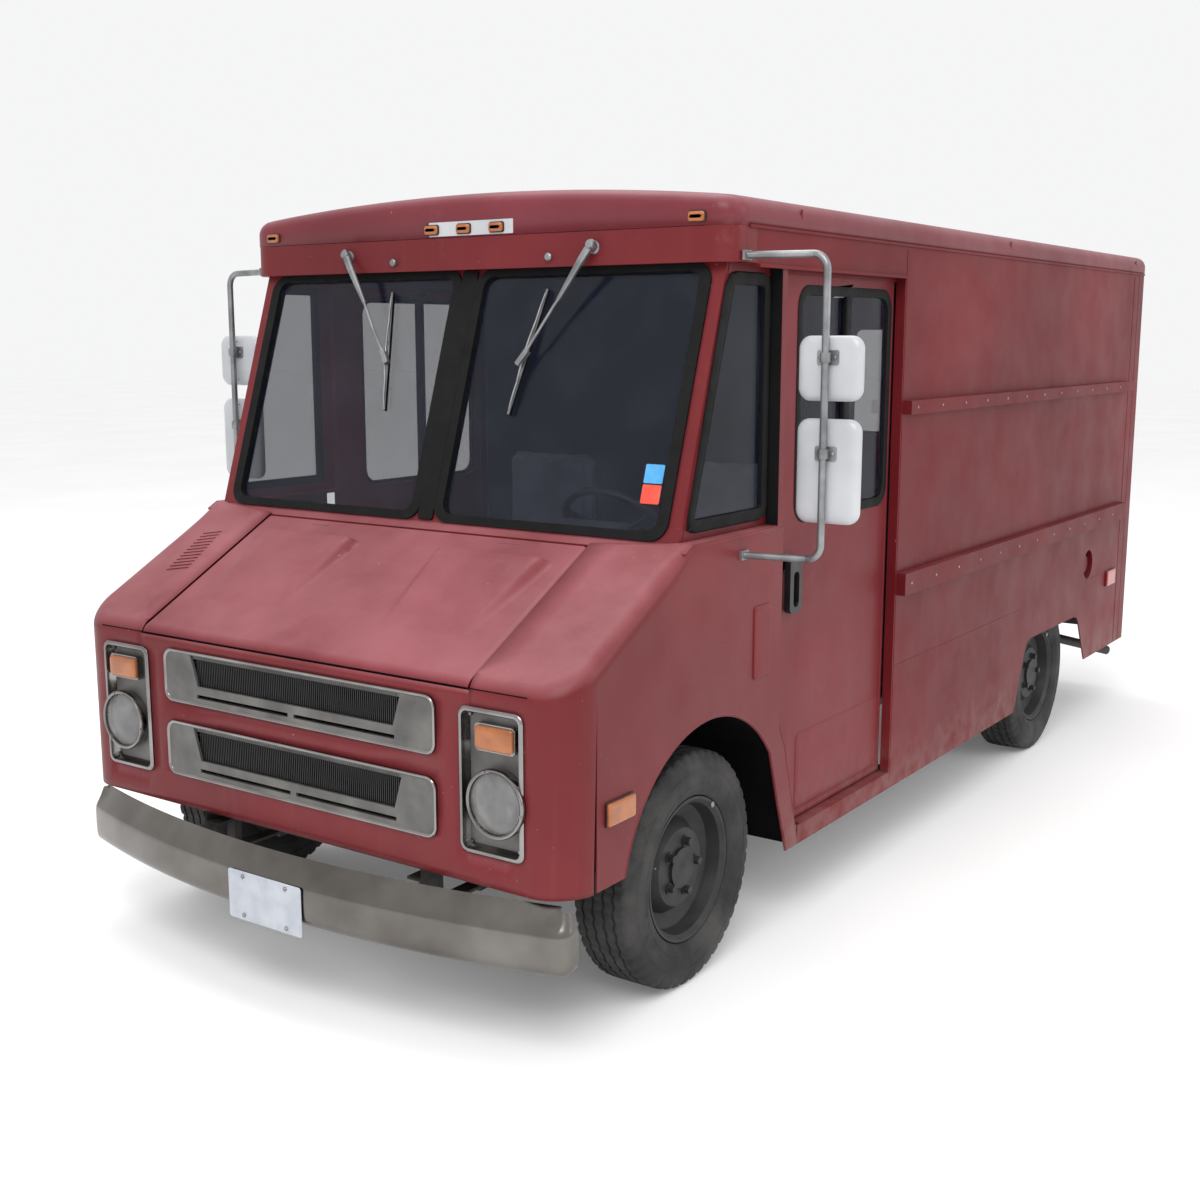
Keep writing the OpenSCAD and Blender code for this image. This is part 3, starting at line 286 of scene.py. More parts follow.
def pane(name, tint, haze, cover):
    """Tinted sheet glass with a little dirt: the sheet hides a share of what lies behind it."""
    m = Mat(name, rough=0.02)
    m.b.inputs["Alpha"].default_value = cover
    m.bump(m.noise(1.6, 2), 0.06, 0.004)
    tone = m.mix(m.fade(m.noise(5, 7, rough=0.7), 0.45, 0.8), tint, haze)
    return m.done(tone, m.fade(m.noise(4, 6), 0.4, 0.8, 0.02, 0.12))


GLASS = pane("window_glass", (22, 27, 42), (46, 50, 64), 0.33)
CLEAR = pane("lamp_glass", (88, 86, 84), (168, 166, 163), 0.42)

# the slot name for each material's pieces, unless a piece states its own; make looks it up but does not keep it
SLOTS = {
    "body_paint": (BODY, REAR, HOOD, NOSE, DOOR, ROOF),
    "rubber_seal": (BLACK, VOID),
    "chrome": (CHROME, BUMPER, AGED, REFLECT),
    "wiper_metal": (TRIM,),
    "dark_steel": (STEEL,),
    "black_plastic": (PLASTIC,),
    "mirror_shell": (SHELL,),
    "plate": (PLATE, SKY_BLUE, ORANGE),
    "lens": (AMBER, RED),
    "glass": (GLASS, CLEAR),
    "tyre": (TYRE,),
}


# ---- geometry ----
def round_rect(x0, y0, x1, y1, r, n=8):
    """A rectangle with round corners, as 4 (n + 1) points in order."""
    out = []
    for cx, cy, a in ((x1 - r, y0 + r, -90), (x1 - r, y1 - r, 0), (x0 + r, y1 - r, 90), (x0 + r, y0 + r, 180)):
        for i in range(n + 1):
            t = radians(a + 90 * i / n)
            out.append((cx + r * cos(t), cy + r * sin(t)))
    return out


def inset(corners, i, r, n=8):
    """The rectangle (x0, y0, x1, y1) with round corners, drawn in by i."""
    x0, y0, x1, y1 = corners
    return round_rect(x0 + i, y0 + i, x1 - i, y1 - i, r, n)


PLANES = {
    "x": lambda p, d: at(d, p[0], p[1]),          # outline in (back, up), depth across
    "y": lambda p, d: at(p[0], d, p[1]),          # outline in (across, up), depth back
    "z": lambda p, d: at(p[0], p[1], d),          # outline in (across, back), depth up
    "free": lambda p, d: Vector((p[0], p[1], d)),
}


ACROSS, BACKWARD, UP, AHEAD = (1, 0, 0), (0, 1, 0), (0, 0, 1), (0, -1, 0)


class Build:
    """Gathers shapes into one mesh."""

    def __init__(self, place=None):
        self.v, self.f, self.place = [], [], place

    def add(self, verts, faces):
        k = len(self.v)
        self.v += [self.place @ v if self.place else v for v in map(Vector, verts)]
        self.f += [[k + i for i in face] for face in faces]
        return self

    def loops(self, rings, close=False, cap=True):
        """Rings of equally many points, joined side by side."""
        n = len(rings[0])
        verts = [p for ring in rings for p in ring]
        faces = []
        count = len(rings)
        for k in range(count if close else count - 1):
            a, b = k * n, (k + 1) % count * n
            faces += [[a + i, a + (i + 1) % n, b + (i + 1) % n, b + i] for i in range(n)]
        if cap and not close:
            faces += [list(range(n)), list(range((count - 1) * n, count * n))]
        return self.add(verts, faces)

    def prism(self, outline, a, b, plane="x"):
        f = PLANES[plane]
        return self.loops([[f(p, a) for p in outline], [f(p, b) for p in outline]])

    def box(self, low, high, plane="z"):
        (x0, y0, z0), (x1, y1, z1) = low, high
        return self.prism([(x0, y0), (x1, y0), (x1, y1), (x0, y1)], z0, z1, plane)

    def frame(self, outer, inner, a, b, plane="x"):
        """A flat ring between two outlines."""
        f = PLANES[plane]
        edges = ((outer, a), (outer, b), (inner, b), (inner, a))
        return self.loops([[f(p, d) for p in outline] for outline, d in edges], close=True)

    def stack(self, layers, plane="x"):
        """A pillow of outlines, each with its own depth."""
        f = PLANES[plane]
        return self.loops([[f(p, d) for p in outline] for outline, d in layers])

    def pillow(self, corners, r, layers, plane="x", start=0.0, way=1):
        """A pillow of one rounded rectangle (x0, y0, x1, y1), each layer a (depth, inset)."""
        return self.stack([(inset(corners, i, r), start + way * d) for d, i in layers], plane)

    def grid(self, rows, skip=None):
        """A sheet through rows of points; skip leaves out faces by their middle."""
        m = len(rows[0])
        faces = []
        for i in range(len(rows) - 1):
            for k in range(m - 1):
                if not (skip and skip((rows[i][k] + rows[i + 1][k + 1]) / 2)):
                    faces.append([i * m + k, (i + 1) * m + k, (i + 1) * m + k + 1, i * m + k + 1])
        return self.add([p for row in rows for p in row], faces)

    def lathe(self, profile, centre, axis, n=64, close=False):
        """A profile of (along the axis, radius) turned about axis through centre."""
        axis = Vector(axis).normalized()
        u = axis.orthogonal().normalized()
        w = axis.cross(u)
        spokes = [u * cos(t) + w * sin(t) for t in (2 * pi * i / n for i in range(n))]
        hub = Vector(centre)
        rings = [[hub + axis * a + spoke * max(r, 1e-5) for spoke in spokes] for a, r in profile]
        return self.loops(rings, close=close)

    def tube(self, path, r, n=12):
        """A round bar along a path of points."""
        path = [Vector(p) for p in path]
        rings, up = [], None
        for i, p in enumerate(path):
            d = (path[min(i + 1, len(path) - 1)] - path[max(i - 1, 0)]).normalized()
            up = d.orthogonal() if up is None else up - d * up.dot(d)
            up.normalize()
            side = d.cross(up)
            turns = (2 * pi * k / n for k in range(n))
            rings.append([p + up * r * cos(t) + side * r * sin(t) for t in turns])
        return self.loops(rings)

    def mirrored(self):
        """Adds the same shapes on the other side of the truck."""
        k = len(self.v)
        self.v += [Vector((-p.x, p.y, p.z)) for p in self.v]
        self.f += [[k + i for i in reversed(face)] for face in list(self.f)]
        return self

    def flipped(self, s):
        """Moves the shapes to the other side of the truck if s is -1."""
        self.v = [Vector((s * p.x, p.y, p.z)) for p in self.v]
        return self

    def make(self, name, material, body="body", stands_for=(), slot=None, bevel=0.0, angle=35, merge=1e-6):
        """The visual piece: its mesh, material, body and the CAD nodes that it stands for, which it hides; the
        slot is looked up but not kept.
        """
        me = bpy.data.meshes.new(name)
        me.from_pydata([tuple(v) for v in self.v], [], self.f)
        bm = bmesh.new()
        bm.from_mesh(me)
        bmesh.ops.remove_doubles(bm, verts=bm.verts, dist=merge)
        bmesh.ops.recalc_face_normals(bm, faces=bm.faces)
        for f in bm.faces:
            f.smooth = True
        bm.to_mesh(me)
        bm.free()
        me.set_sharp_from_angle(angle=radians(angle))
        me.materials.append(material)
        o = new_object(name, me)
        if bevel:
            b = o.modifiers.new("edges", "BEVEL")
            b.width, b.segments, b.angle_limit, b.limit_method = bevel, 2, radians(35), "ANGLE"
        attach(o, body)
        slot = slot or next(key for key, materials in SLOTS.items() if material in materials)
        if stands_for:
            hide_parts(*stands_for)
        return o


def thicken(o, depth):
    m = o.modifiers.new("sheet", "SOLIDIFY")
    m.thickness, m.offset = depth, 0.0


def look(node, material, bevel):
    """A CAD node that stays: its material, and a small round on its edges."""
    o = NODES[node]
    o.data.materials.clear()
    o.data.materials.append(material)
    if bevel:
        w = o.modifiers.new("weld", "WELD")
        w.merge_threshold = 0.00005
        b = o.modifiers.new("edges", "BEVEL")
        b.width, b.segments, b.limit_method, b.angle_limit = bevel, 2, "ANGLE", radians(40)


for names, material, bevel in (
    ("chassis_frame floor rear_bumper leaf_springs exhaust fuel_tank seat_pedestals", STEEL, 0.0),
    ("tie_rod driveshaft brake_pedal", STEEL, 0.0),
    ("side_left side_right", BODY, 0.0),
    ("cab_front", CAB, 0.0),
    ("rear_frame rear_door_left rear_door_right", REAR, 0.0),
    ("door_left door_right", DOOR, 0.0),
    ("rear_latch", CHROME, 0.0),
    ("grilles", AGED, 0.0),
    ("fixed_glass door_pane_left door_pane_right", GLASS, 0.0),
    ("window_gaskets", BLACK, 0.0),
    ("steering_column dashboard engine_cover", DASH, 0.0),
    ("door_handle_left door_handle_right", PLASTIC, 0.005),
    ("steering_wheel cooling_fan", PLASTIC, 0.0),
    ("engine rear_axle front_axle knuckle_left knuckle_right", IRON, 0.0),
    ("radiator", ALLOY, 0.0),
    ("mirror_arms", TRIM, 0.0),
    ("wheel_front_left wheel_front_right rear_wheels", RIM, 0.0),
):
    for name in names.split():
        look(name, material, bevel)

# ---- hood with its two power domes ----
HOOD_ANGLE = radians(28.6)
HOOD_TAN = tan(HOOD_ANGLE)
LIP_Z = 1.040           # height of the hood plane at the grille face


def ramp(v, a, b):
    """0 to 1 as v goes from a to b, smooth at both ends."""
    t = min(max((v - a) / (b - a), 0.0), 1.0)
    return t * t * (3 - 2 * t)


def hood_z(x, y):
    """The hood's surface: a plane with two domes that rise towards the cowl and drop at their rear."""
    near = 0.03 + 0.10 * (1 - min(max((y - 0.16) / 0.3, 0), 1))
    inner = ramp(abs(x), 0.150 + near * 0.4, 0.180 + near * 0.4)
    dome = inner * (1 - ramp(abs(x), 0.590 - near * 0.6, 0.625 - near * 0.6))
    rise = min(max((y - 0.15) / 0.27, 0), 1) * (1 - ramp(y, 0.447, 0.480))
    front = -0.012 * (1 - ramp(y, 0.0, 0.014)) - 0.004 * ramp(abs(x), 0.662, 0.668)
    return LIP_Z + y * HOOD_TAN + 0.030 * dome * rise + front


b = Build()
NX, NY = 151, 81
xs = [-0.668 + 1.336 * i / (NX - 1) for i in range(NX)]
ys = [0.002 + 0.55 * j / (NY - 1) for j in range(NY)]
top = [[at(x, y, hood_z(x, y)) for x in xs] for y in ys]
b.grid(top)
b.grid([[p - Vector((0, 0, 0.005)) for p in row] for row in top])
rim = list(range(NX)) + [j * NX + NX - 1 for j in range(1, NY)]
rim += [NX * (NY - 1) + i for i in range(NX - 2, -1, -1)] + [j * NX for j in range(NY - 2, 0, -1)]
b.f += [[p, q, q + NX * NY, p + NX * NY] for p, q in zip(rim, rim[1:] + rim[:1])]
b.make("hood_skin", HOOD, "hood", ["hood"])
b = Build()
for s in (1, -1):
    b.lathe([(-0.046, 0.009), (0.046, 0.009)], at(0.4 * s, 0.562, 1.330), ACROSS, 24)
    b.box((0.4 * s - 0.046, 0.53, 1.318), (0.4 * s + 0.046, 0.552, 1.330))
b.make("hood_hinges", STEEL, "hood", bevel=0.001)


# ---- the nose's skin: front panel, round corners, shoulders and side sheets ----
def shoulder_z(y):
    return min(LIP_Z + y * HOOD_TAN, 1.3668)


PLAN_R = 0.13           # round corner of the nose, seen from above
SEAM_X = 0.6725         # where the shoulder meets the hood
# radius of the shoulder's edge by distance back from the grille
SHOULDER = [(0.13, 0.055), (0.2, 0.055), (0.28, 0.055), (0.36, 0.055), (0.44, 0.055), (0.50, 0.053),
            (0.535, 0.048), (0.568, 0.04), (0.59, 0.032), (0.608, 0.026), (0.65, 0.02), (0.8, 0.015),
            (1.0, 0.013), (1.155, 0.012)]
LEVELS = [0.480, 0.500, 0.579, 0.592, 0.66, 0.748, 0.83, 0.90, 0.968]
LAMP_Z = (0.579, 0.968)

route = []      # place on the plan, outward direction, edge radius, and where the top sheet runs to
for x in (0.675, 0.70, 0.75, 0.80, 0.85, 0.87):
    route.append((x, 0.0, 0.0, -1.0, 0.032, (SEAM_X, 0.033 + 0.06 * (x - 0.675) / 0.195)))
for k in range(1, 12):
    t = k / 12
    c, d = cos(pi / 2 * t), sin(pi / 2 * t)
    corner = (HALF - PLAN_R + PLAN_R * d, PLAN_R - PLAN_R * c)
    route.append((*corner, d, -c, 0.032 + 0.023 * t, (SEAM_X, 0.093 + 0.08 * t)))
for y, r in SHOULDER:
    inner = SEAM_X if y < 0.57 else (0.90 if y < 0.6 else 0.957)
    back = y if y > 0.568 else 0.175 + (y - 0.13) * (0.568 - 0.175) / (0.568 - 0.13)
    route.append((HALF, y, 1.0, 0.0, r, (inner, back)))
rows = []
for px, py, nx, ny, r, target in route:
    top = shoulder_z(py) - r
    if py < PLAN_R - 0.0001:
        row = [at(px, py, z) for z in LEVELS + [top - 0.01]]
    else:
        row = [at(px, py, top - 0.0001 * (10 - k)) for k in range(10)]
    for k in range(9):
        a = radians(90 * k / 8)
        x, y = px - nx * r * (1 - cos(a)), py - ny * r * (1 - cos(a))
        row.append(at(x, y, shoulder_z(y) - r * (1 - sin(a))))
    x, y = px - nx * r, py - ny * r
    for k in range(1, 4):
        qx, qy = x + (target[0] - x) * k / 3, y + (target[1] - y) * k / 3
        row.append(at(qx, qy, shoulder_z(qy)))
    rows.append(row)


def lamp_hole(p):
    return 0.65 < abs(p.x) < 0.85 and LAMP_Z[0] < p.z < LAMP_Z[1] and p.y < GRILLE_Y + 0.001


def front_hole(p):
    return lamp_hole(p) or (abs(p.x) < 0.548 and (0.592 < p.z < 0.748 or 0.83 < p.z < 0.979))


b = Build()
b.grid(rows, lamp_hole)
b.mirrored()
fx = [-0.675, -0.65, -0.5935, -0.548, -0.3, 0.0, 0.3, 0.548, 0.5935, 0.65, 0.675]
b.grid([[at(x, 0.0, z) for z in LEVELS + [0.979, 1.0, 1.020]] for x in fx], front_hole)
thicken(b.make("nose_skin", NOSE, stands_for=["grille_panel"], angle=40), 0.003)


def plate(b, outline, holes, a, d, plane="x"):
    """A flat sheet with holes in it."""
    loops = [outline] + holes
    flat = [Vector((p[0], p[1], 0)) for loop in loops for p in loop]
    tris = tessellate_polygon([[Vector((p[0], p[1], 0)) for p in loop] for loop in loops])
    f = PLANES[plane]
    n = len(flat)
    verts = [f(p, a) for p in flat] + [f(p, d) for p in flat]
    faces = [list(t) for t in tris] + [[n + i for i in reversed(t)] for t in tris]
    k = 0
    for loop in loops:
        m = len(loop)
        faces += [[k + i, k + (i + 1) % m, n + k + (i + 1) % m, n + k + i] for i in range(m)]
        k += m
    return b.add(verts, faces)


def wheel_arc(r, start, n):
    """An arc over the front wheel, from its front end to its rear one."""
    angles = [radians(start - 130 * k / n) for k in range(n + 1)]
    return [(0.720 + r * cos(a), 0.365 + r * sin(a)) for a in angles]


ARCH = wheel_arc(0.470, 165.8, 40) + [(1.160, 0.462), (1.2270, 0.276)]
b = Build()
outline = [(0.13, 0.480)] + ARCH + [(1.302, 0.276), (1.195, 0.640), (1.172, 0.676), (1.155, 0.720)]
outline += [(y, shoulder_z(y) - r) for y, r in reversed(SHOULDER)]
plate(b, outline, [], HALF - 0.0055, HALF)
b.mirrored().make("fender_skin", NOSE, stands_for=["fenders"], bevel=0.0012)
b = Build()
b.tube([at(HALF - 0.0042, y, z) for y, z in ARCH], 0.0058, 10)
rear_edge = ((1.155, 0.722), (1.172, 0.677), (1.195, 0.641), (1.302, 0.277))
b.tube([at(HALF - 0.0022, y, z) for y, z in rear_edge], 0.0036, 8)
b.mirrored().make("arch_lips", NOSE)
b = Build()
liner = wheel_arc(0.480, 166, 36) + [(1.170, 0.462), (1.228, 0.30)]
liner_back = [(0.720 + (y - 0.720) * 1.008, 0.365 + (z - 0.365) * 1.008) for y, z in liner]
b.prism(liner + liner_back[::-1], 0.556, HALF - 0.007)
plate(b, [p for p in liner if p[1] > 0.584], [], 0.555, 0.559)
b.mirrored().make("wheelhouses", VOID)

# ---- front bumper: a bowed channel with rolled edges and wrapped ends ----
BOW = 3.5               # radius of the bumper, seen from above
END_R = 0.045           # radius of its wrapped ends
MID_Z = 0.366
# the channel's section: millimetres ahead of the bow, and up from the road
SECTION = [(-28, 270), (-14, 275), (-5, 283), (-1, 294), (0, 308), (0.6, 340), (0, 374), (-1, 387),
           (-5, 398), (-12, 408), (-28, 430), (-50, 459), (-55, 454), (-33, 425), (-17, 403), (-11, 394),
           (-7, 384), (-6, 374), (-5.4, 340), (-6, 308), (-7, 297), (-10, 288), (-18, 281), (-30, 276)]
bow_lo, bow_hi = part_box("front_bumper")
turn = asin(0.957 / BOW)
# place on the plan, heading, and how much of the section's height is left
half_route = [(BOW * sin(a), BOW - BOW * cos(a), a, 1.0) for a in (turn * k / 24 for k in range(25))]
px, py = half_route[-1][:2]
for k in range(1, 11):
    a = turn + (pi / 2 - turn) * k / 10
    x, y = px + END_R * (sin(a) - sin(turn)), py + END_R * (cos(turn) - cos(a))
    half_route.append((x, y, a, 1.0 - 0.16 * (k / 10) ** 2))
half_route.append((x, y + 0.018, pi / 2, 0.80))
stations = [(-x, y, -a, k) for x, y, a, k in reversed(half_route[1:])] + half_route
rings = []
for x, y, a, k in stations:
    past = max((abs(a) - turn) / (pi / 2 - turn), 0.0)
    scale = 0.001 * (1.0 if abs(a) < turn + 0.01 else 0.35 + 0.65 * (1 - past))
    rings.append([Vector((x + d * scale * sin(a), bow_lo.y + y - d * scale * cos(a),
                          MID_Z + (z * 0.001 - MID_Z) * k)) for d, z in SECTION])
Build().loops(rings).make("bumper_face", BUMPER, stands_for=["front_bumper"], angle=50)
b = Build()
y0, y1 = bow_lo.y + 0.034 - GRILLE_Y, bow_hi.y - GRILLE_Y
b.prism([(y0, 0.320), (y1, 0.320), (y1, 0.419), (-0.031, 0.419), (-0.031, 0.371), (y0, 0.371)], 0.448, 0.460)
b.mirrored().make("bumper_brackets", STEEL, bevel=0.001)

# ---- roof: one pressing with a round front, round corners and a slight crown ----
ROOF_Y = (0.82, 5.19)   # front and rear ends
ROOF_SEAM = 2.264
ROOF_TOP = 2.400
EDGE = 0.045            # radius of the roof's edge
EDGE_STEPS = [0, 0.0009, 0.0034, 0.0078, 0.0132, 0.021, 0.032, 0.045]


def corner_r(y):
    """Radius of the roof's corners, seen from above."""
    return 0.08 if y < 3 else 0.06


def roof_point(x, y):
    rc = corner_r(y)
    ax, ay = HALF - abs(x), min(y - ROOF_Y[0], ROOF_Y[1] - y)
    d = min(ax, ay) if (ax > rc or ay > rc) else rc - hypot(rc - ax, rc - ay)
    d = min(max(d, 0.0), EDGE)
    crown = ROOF_TOP - 0.055 * (x / HALF) ** 2
    return at(x, y, crown - (EDGE - sqrt(max(EDGE ** 2 - (EDGE - d) ** 2, 0))))


length = ROOF_Y[1] - ROOF_Y[0]
backs = EDGE_STEPS + [0.058, 0.072, 0.09] + [0.15 + (length - 0.3) * k / 20 for k in range(21)]
backs += [length - d for d in [0.08] + EDGE_STEPS[::-1]]
grid = []
for back in backs:
    y = ROOF_Y[0] + back
    rc, a = corner_r(y), min(back, length - back)
    w = HALF - (rc - sqrt(max(rc ** 2 - (rc - a) ** 2, 0)) if a < rc else 0)
    half_row = [w - d for d in EDGE_STEPS] + [w - 0.08] + [(w - 0.08) * k / 9 for k in range(8, 0, -1)]
    row = [roof_point(x, y) for x in [-v for v in half_row] + [0.0] + half_row[::-1]]
    grid.append([at(-w, y, ROOF_SEAM)] + row + [at(w, y, ROOF_SEAM)])
b = Build()
b.grid(grid)
for row in (grid[0], grid[-1]):
    b.grid([row, [Vector((p.x, p.y, ROOF_SEAM)) for p in row]])
thicken(b.make("roof_skin", ROOF, stands_for=["roof"], angle=50, merge=1e-5), 0.003)

# ---- tyres ----
HUB_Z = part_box("tyre_front_left")[1].z / 2
GROOVES = (-0.052, -0.018, 0.018, 0.052)


def tyre_mesh(centre, out):
    """A ribbed truck tyre: bead, ringed sidewall, cut shoulder and four wavy grooves."""
    side = [(0.078, 0.224), (0.086, 0.228), (0.094, 0.240), (0.1000, 0.256), (0.1018, 0.262),
            (0.1006, 0.264), (0.1022, 0.276), (0.1024, 0.290), (0.1008, 0.302), (0.1022, 0.304),
            (0.1020, 0.307), (0.0998, 0.310), (0.0975, 0.322), (0.0950, 0.334)]
    shoulder = [(0.0915, 0.345), (0.0880, 0.353), (0.0840, 0.3595), (0.0790, 0.3630)]
    tread = []
    for g in reversed(GROOVES):
        tread += [(g + 0.0048, 0.3645), (g + 0.0038, 0.3575), (g - 0.0038, 0.3575), (g - 0.0048, 0.3645)]
    profile = [(a, r, 0) for a, r in side] + [(a, r, 1) for a, r in shoulder] + [(a, r, 2) for a, r in tread]
    profile += [(-a, r, 1) for a, r in reversed(shoulder)] + [(-a, r, 0) for a, r in reversed(side)]
    profile += [(-0.06, 0.2225, 0), (0.06, 0.2225, 0)]
    count = 288
    rings = []
    for i in range(count):
        t = 2 * pi * i / count
        cut = i % 6 in (0, 1)
        ring = []
        for a, r, kind in profile:
            if kind == 1 and cut:
                r -= 0.006
            if kind == 2:
                a += 0.0030 * sin(t * 48)
                if i % 4 == 0 and r > 0.36:
                    r -= 0.0022
            ring.append(centre + Vector((a * out, r * cos(t), r * sin(t))))
        rings.append(ring)
    return rings


for label, node, body, y, sides in (
    ("tyre_fl", "tyre_front_left", "front_wheel_left", 0.69, (1,)),
    ("tyre_fr", "tyre_front_right", "front_wheel_right", 0.69, (-1,)),
    ("tyre_rear", "rear_tyres", "rear_wheel_set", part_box("rear_tyres")[0].y - GRILLE_Y + HUB_Z, (1, -1)),
):
    b = Build()
    trim = Build()
    for s in sides:
        hub = at(0.865 * s, y, HUB_Z)
        b.loops(tyre_mesh(hub, s), close=True)
        # a balance weight clipped to the rim, and the valve
        place = hub + Vector((0.084 * s, 0.214 * cos(0.9), 0.214 * sin(0.9)))
        trim.lathe([(-0.004, 0.004), (-0.003, 0.0095), (0.002, 0.0095), (0.004, 0.006)], place, (s, 0, 0), 16)
        valve = ((0.03, -0.168, 0.05), (0.052, -0.166, 0.049), (0.068, -0.163, 0.048))
        trim.tube([hub + Vector((x * s, y1, z)) for x, y1, z in valve], 0.0038, 10)
    b.make(label, TYRE, body, [node], angle=28)
    trim.make(label + "_trim", TRIM, body, bevel=0.0006)

# ---- nose: seams, lamps, grilles, plate ----
b = Build()
for s in (1, -1):
    b.box((0.5935 * s - 0.0013, -0.0006, 0.493), (0.5935 * s + 0.0013, 0.001, 1.012))
b.box((-0.869, -0.0004, 1.0235), (0.869, 0.001, 1.0262))
b.make("nose_seams", VOID)

b = Build()
face = Build()
GRILLE_BANDS = ((0.583, 0.757), (0.821, 0.988))
for low, high in GRILLE_BANDS:
    z0, z1 = low + 0.058, high - 0.008
    for x in [i * 0.0078 for i in range(-53, 54)]:
        b.box((x - 0.0013, 0.000, z0), (x + 0.0013, 0.012, z1))
    for z in (z0 + 0.024, z0 + 0.052, z1 - 0.026):
        b.box((-0.43, 0.004, z - 0.0015), (0.43, 0.010, z + 0.0015))
    # painted shade: a flat deep black sheet just behind the ribs stands in for the dark space inside the grille
    # openings
    face.box((-0.528, 0.0125, low + 0.024), (0.528, 0.0135, high - 0.024))
b.make("grille_ribs", PLASTIC)
b = Build()
RIM_LAYERS = ((0.0, -0.001), (-0.0105, -0.001), (-0.0125, 0.001), (-0.0128, 0.004), (-0.0115, 0.0065),
              (-0.0088, 0.0085), (-0.0088, 0.004))
for low, high in GRILLE_BANDS:
    outlines = [(inset((-0.558, low, 0.558, high), i, 0.034 - i * 0.6), d) for d, i in RIM_LAYERS]
    b.loops([[at(x, d, z) for x, z in outline] for outline, d in outlines], close=True)
b.make("grille_rims", CHROME)
# the painted shade behind the grille, drawn as the deep black sheet built above
face.make("grille_painted_shade", VOID, slot="black_plastic")

bezel, dish, ring, amber, clear, dark = (Build() for _ in range(6))
BEZEL_LAYERS = ((0.0, 0.0), (-0.006, 0.0), (-0.0095, 0.003), (-0.0105, 0.007), (-0.0095, 0.012),
                (0.006, 0.0155), (0.014, 0.022), (0.022, 0.024), (0.022, 0.0245))
LENS_FACE = [(-0.013, 0.0849), (-0.0175, 0.078), (-0.0225, 0.062), (-0.0262, 0.042), (-0.0282, 0.02),
             (-0.0288, 0.0), (-0.0262, 0.0), (-0.0254, 0.02), (-0.0235, 0.042), (-0.0198, 0.062),
             (-0.0145, 0.078), (-0.010, 0.0849)]
LAMP_RING = [(0.018, 0.092), (-0.004, 0.0965), (-0.016, 0.0970), (-0.0205, 0.0945), (-0.0215, 0.0905),
             (-0.0190, 0.0865), (-0.012, 0.0850), (0.010, 0.0850)]
for s in (1, -1):
    sx = lambda pts: [(x * s, z) for x, z in pts]
    outlines = [(sx(inset((0.6405, 0.569, 0.8595, 0.978), i, 0.027 - i * 0.7)), d) for d, i in BEZEL_LAYERS]
    bezel.loops([[at(x, d, z) for x, z in outline] for outline, d in outlines], cap=False)
    dish.prism(sx(round_rect(0.655, 0.584, 0.845, 0.963, 0.012)), 0.018, 0.024, "y")
    c = at(0.770 * s, 0, 0.724)
    ring.lathe(LAMP_RING, c, BACKWARD, 96, close=True)
    dark.lathe([(-0.004, 0.0848), (0.008, 0.074), (0.018, 0.055), (0.026, 0.03), (0.028, 0.012),
                (0.0285, 0.0)], c, BACKWARD, 72)
    clear.lathe(LENS_FACE, c, BACKWARD, 96, close=True)
    clear.lathe([(-0.002, 0.0), (0.001, 0.009), (0.009, 0.012), (0.020, 0.010), (0.024, 0.0)], c, BACKWARD, 24)
    for a in (90, 210, 330):
        t = radians(a + 20)
        screw = c + Vector((0.0915 * cos(t), 0, 0.0915 * sin(t)))
        ring.lathe([(-0.0235, 0.0), (-0.0235, 0.0030), (-0.018, 0.0042)], screw, BACKWARD, 14)
    turn_layers = ((0.012, 0), (-0.010, 0.0), (-0.014, 0.003), (-0.0155, 0.009), (-0.0158, 0.02))
    amber.stack([(sx(inset((0.701, 0.867, 0.826, 0.932), i, 0.010)), d) for d, i in turn_layers], "y")
    outer = round_rect(0.6955, 0.8615, 0.8315, 0.9375, 0.013)
    inner = round_rect(0.7015, 0.8675, 0.8255, 0.9315, 0.010)
    ring.frame(sx(outer), sx(inner), -0.004, 0.016, "y")
    for x, z in ((0.667, 0.595), (0.833, 0.595), (0.667, 0.952), (0.833, 0.952)):
        ring.lathe([(0.010, 0.005), (0.015, 0.006), (0.018, 0.006)], at(x * s, 0, z), BACKWARD, 12)
bezel.make("lamp_bezels", CHROME, stands_for=["headlamps"])
dish.make("lamp_pans", AGED, bevel=0.001)
ring.make("lamp_rings", CHROME)
dark.make("lamp_reflectors", REFLECT)
clear.make("lamp_lenses", CLEAR)
amber.make("turn_lamps", AMBER)

b = Build()
plate_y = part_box("licence_plate")[0].y - GRILLE_Y
plate_layers = ((0.003, 0), (0.0012, 0), (0.0004, 0.0012), (0, 0.003), (0, 0.006), (0.0012, 0.0075),
                (0.0013, 0.009))
b.pillow((-0.152, 0.240, 0.152, 0.392), 0.010, plate_layers, "y", plate_y)
b.make("front_plate", PLATE, stands_for=["licence_plate"])
b = Build()
for x in (-0.089, 0.089):
    for z in (0.256, 0.376):
        b.lathe([(-0.0035, 0.0), (-0.0035, 0.0045), (-0.001, 0.0065), (0.0015, 0.0065)], at(x, plate_y, z),
                BACKWARD, 16)
b.make("plate_bolts", TRIM)
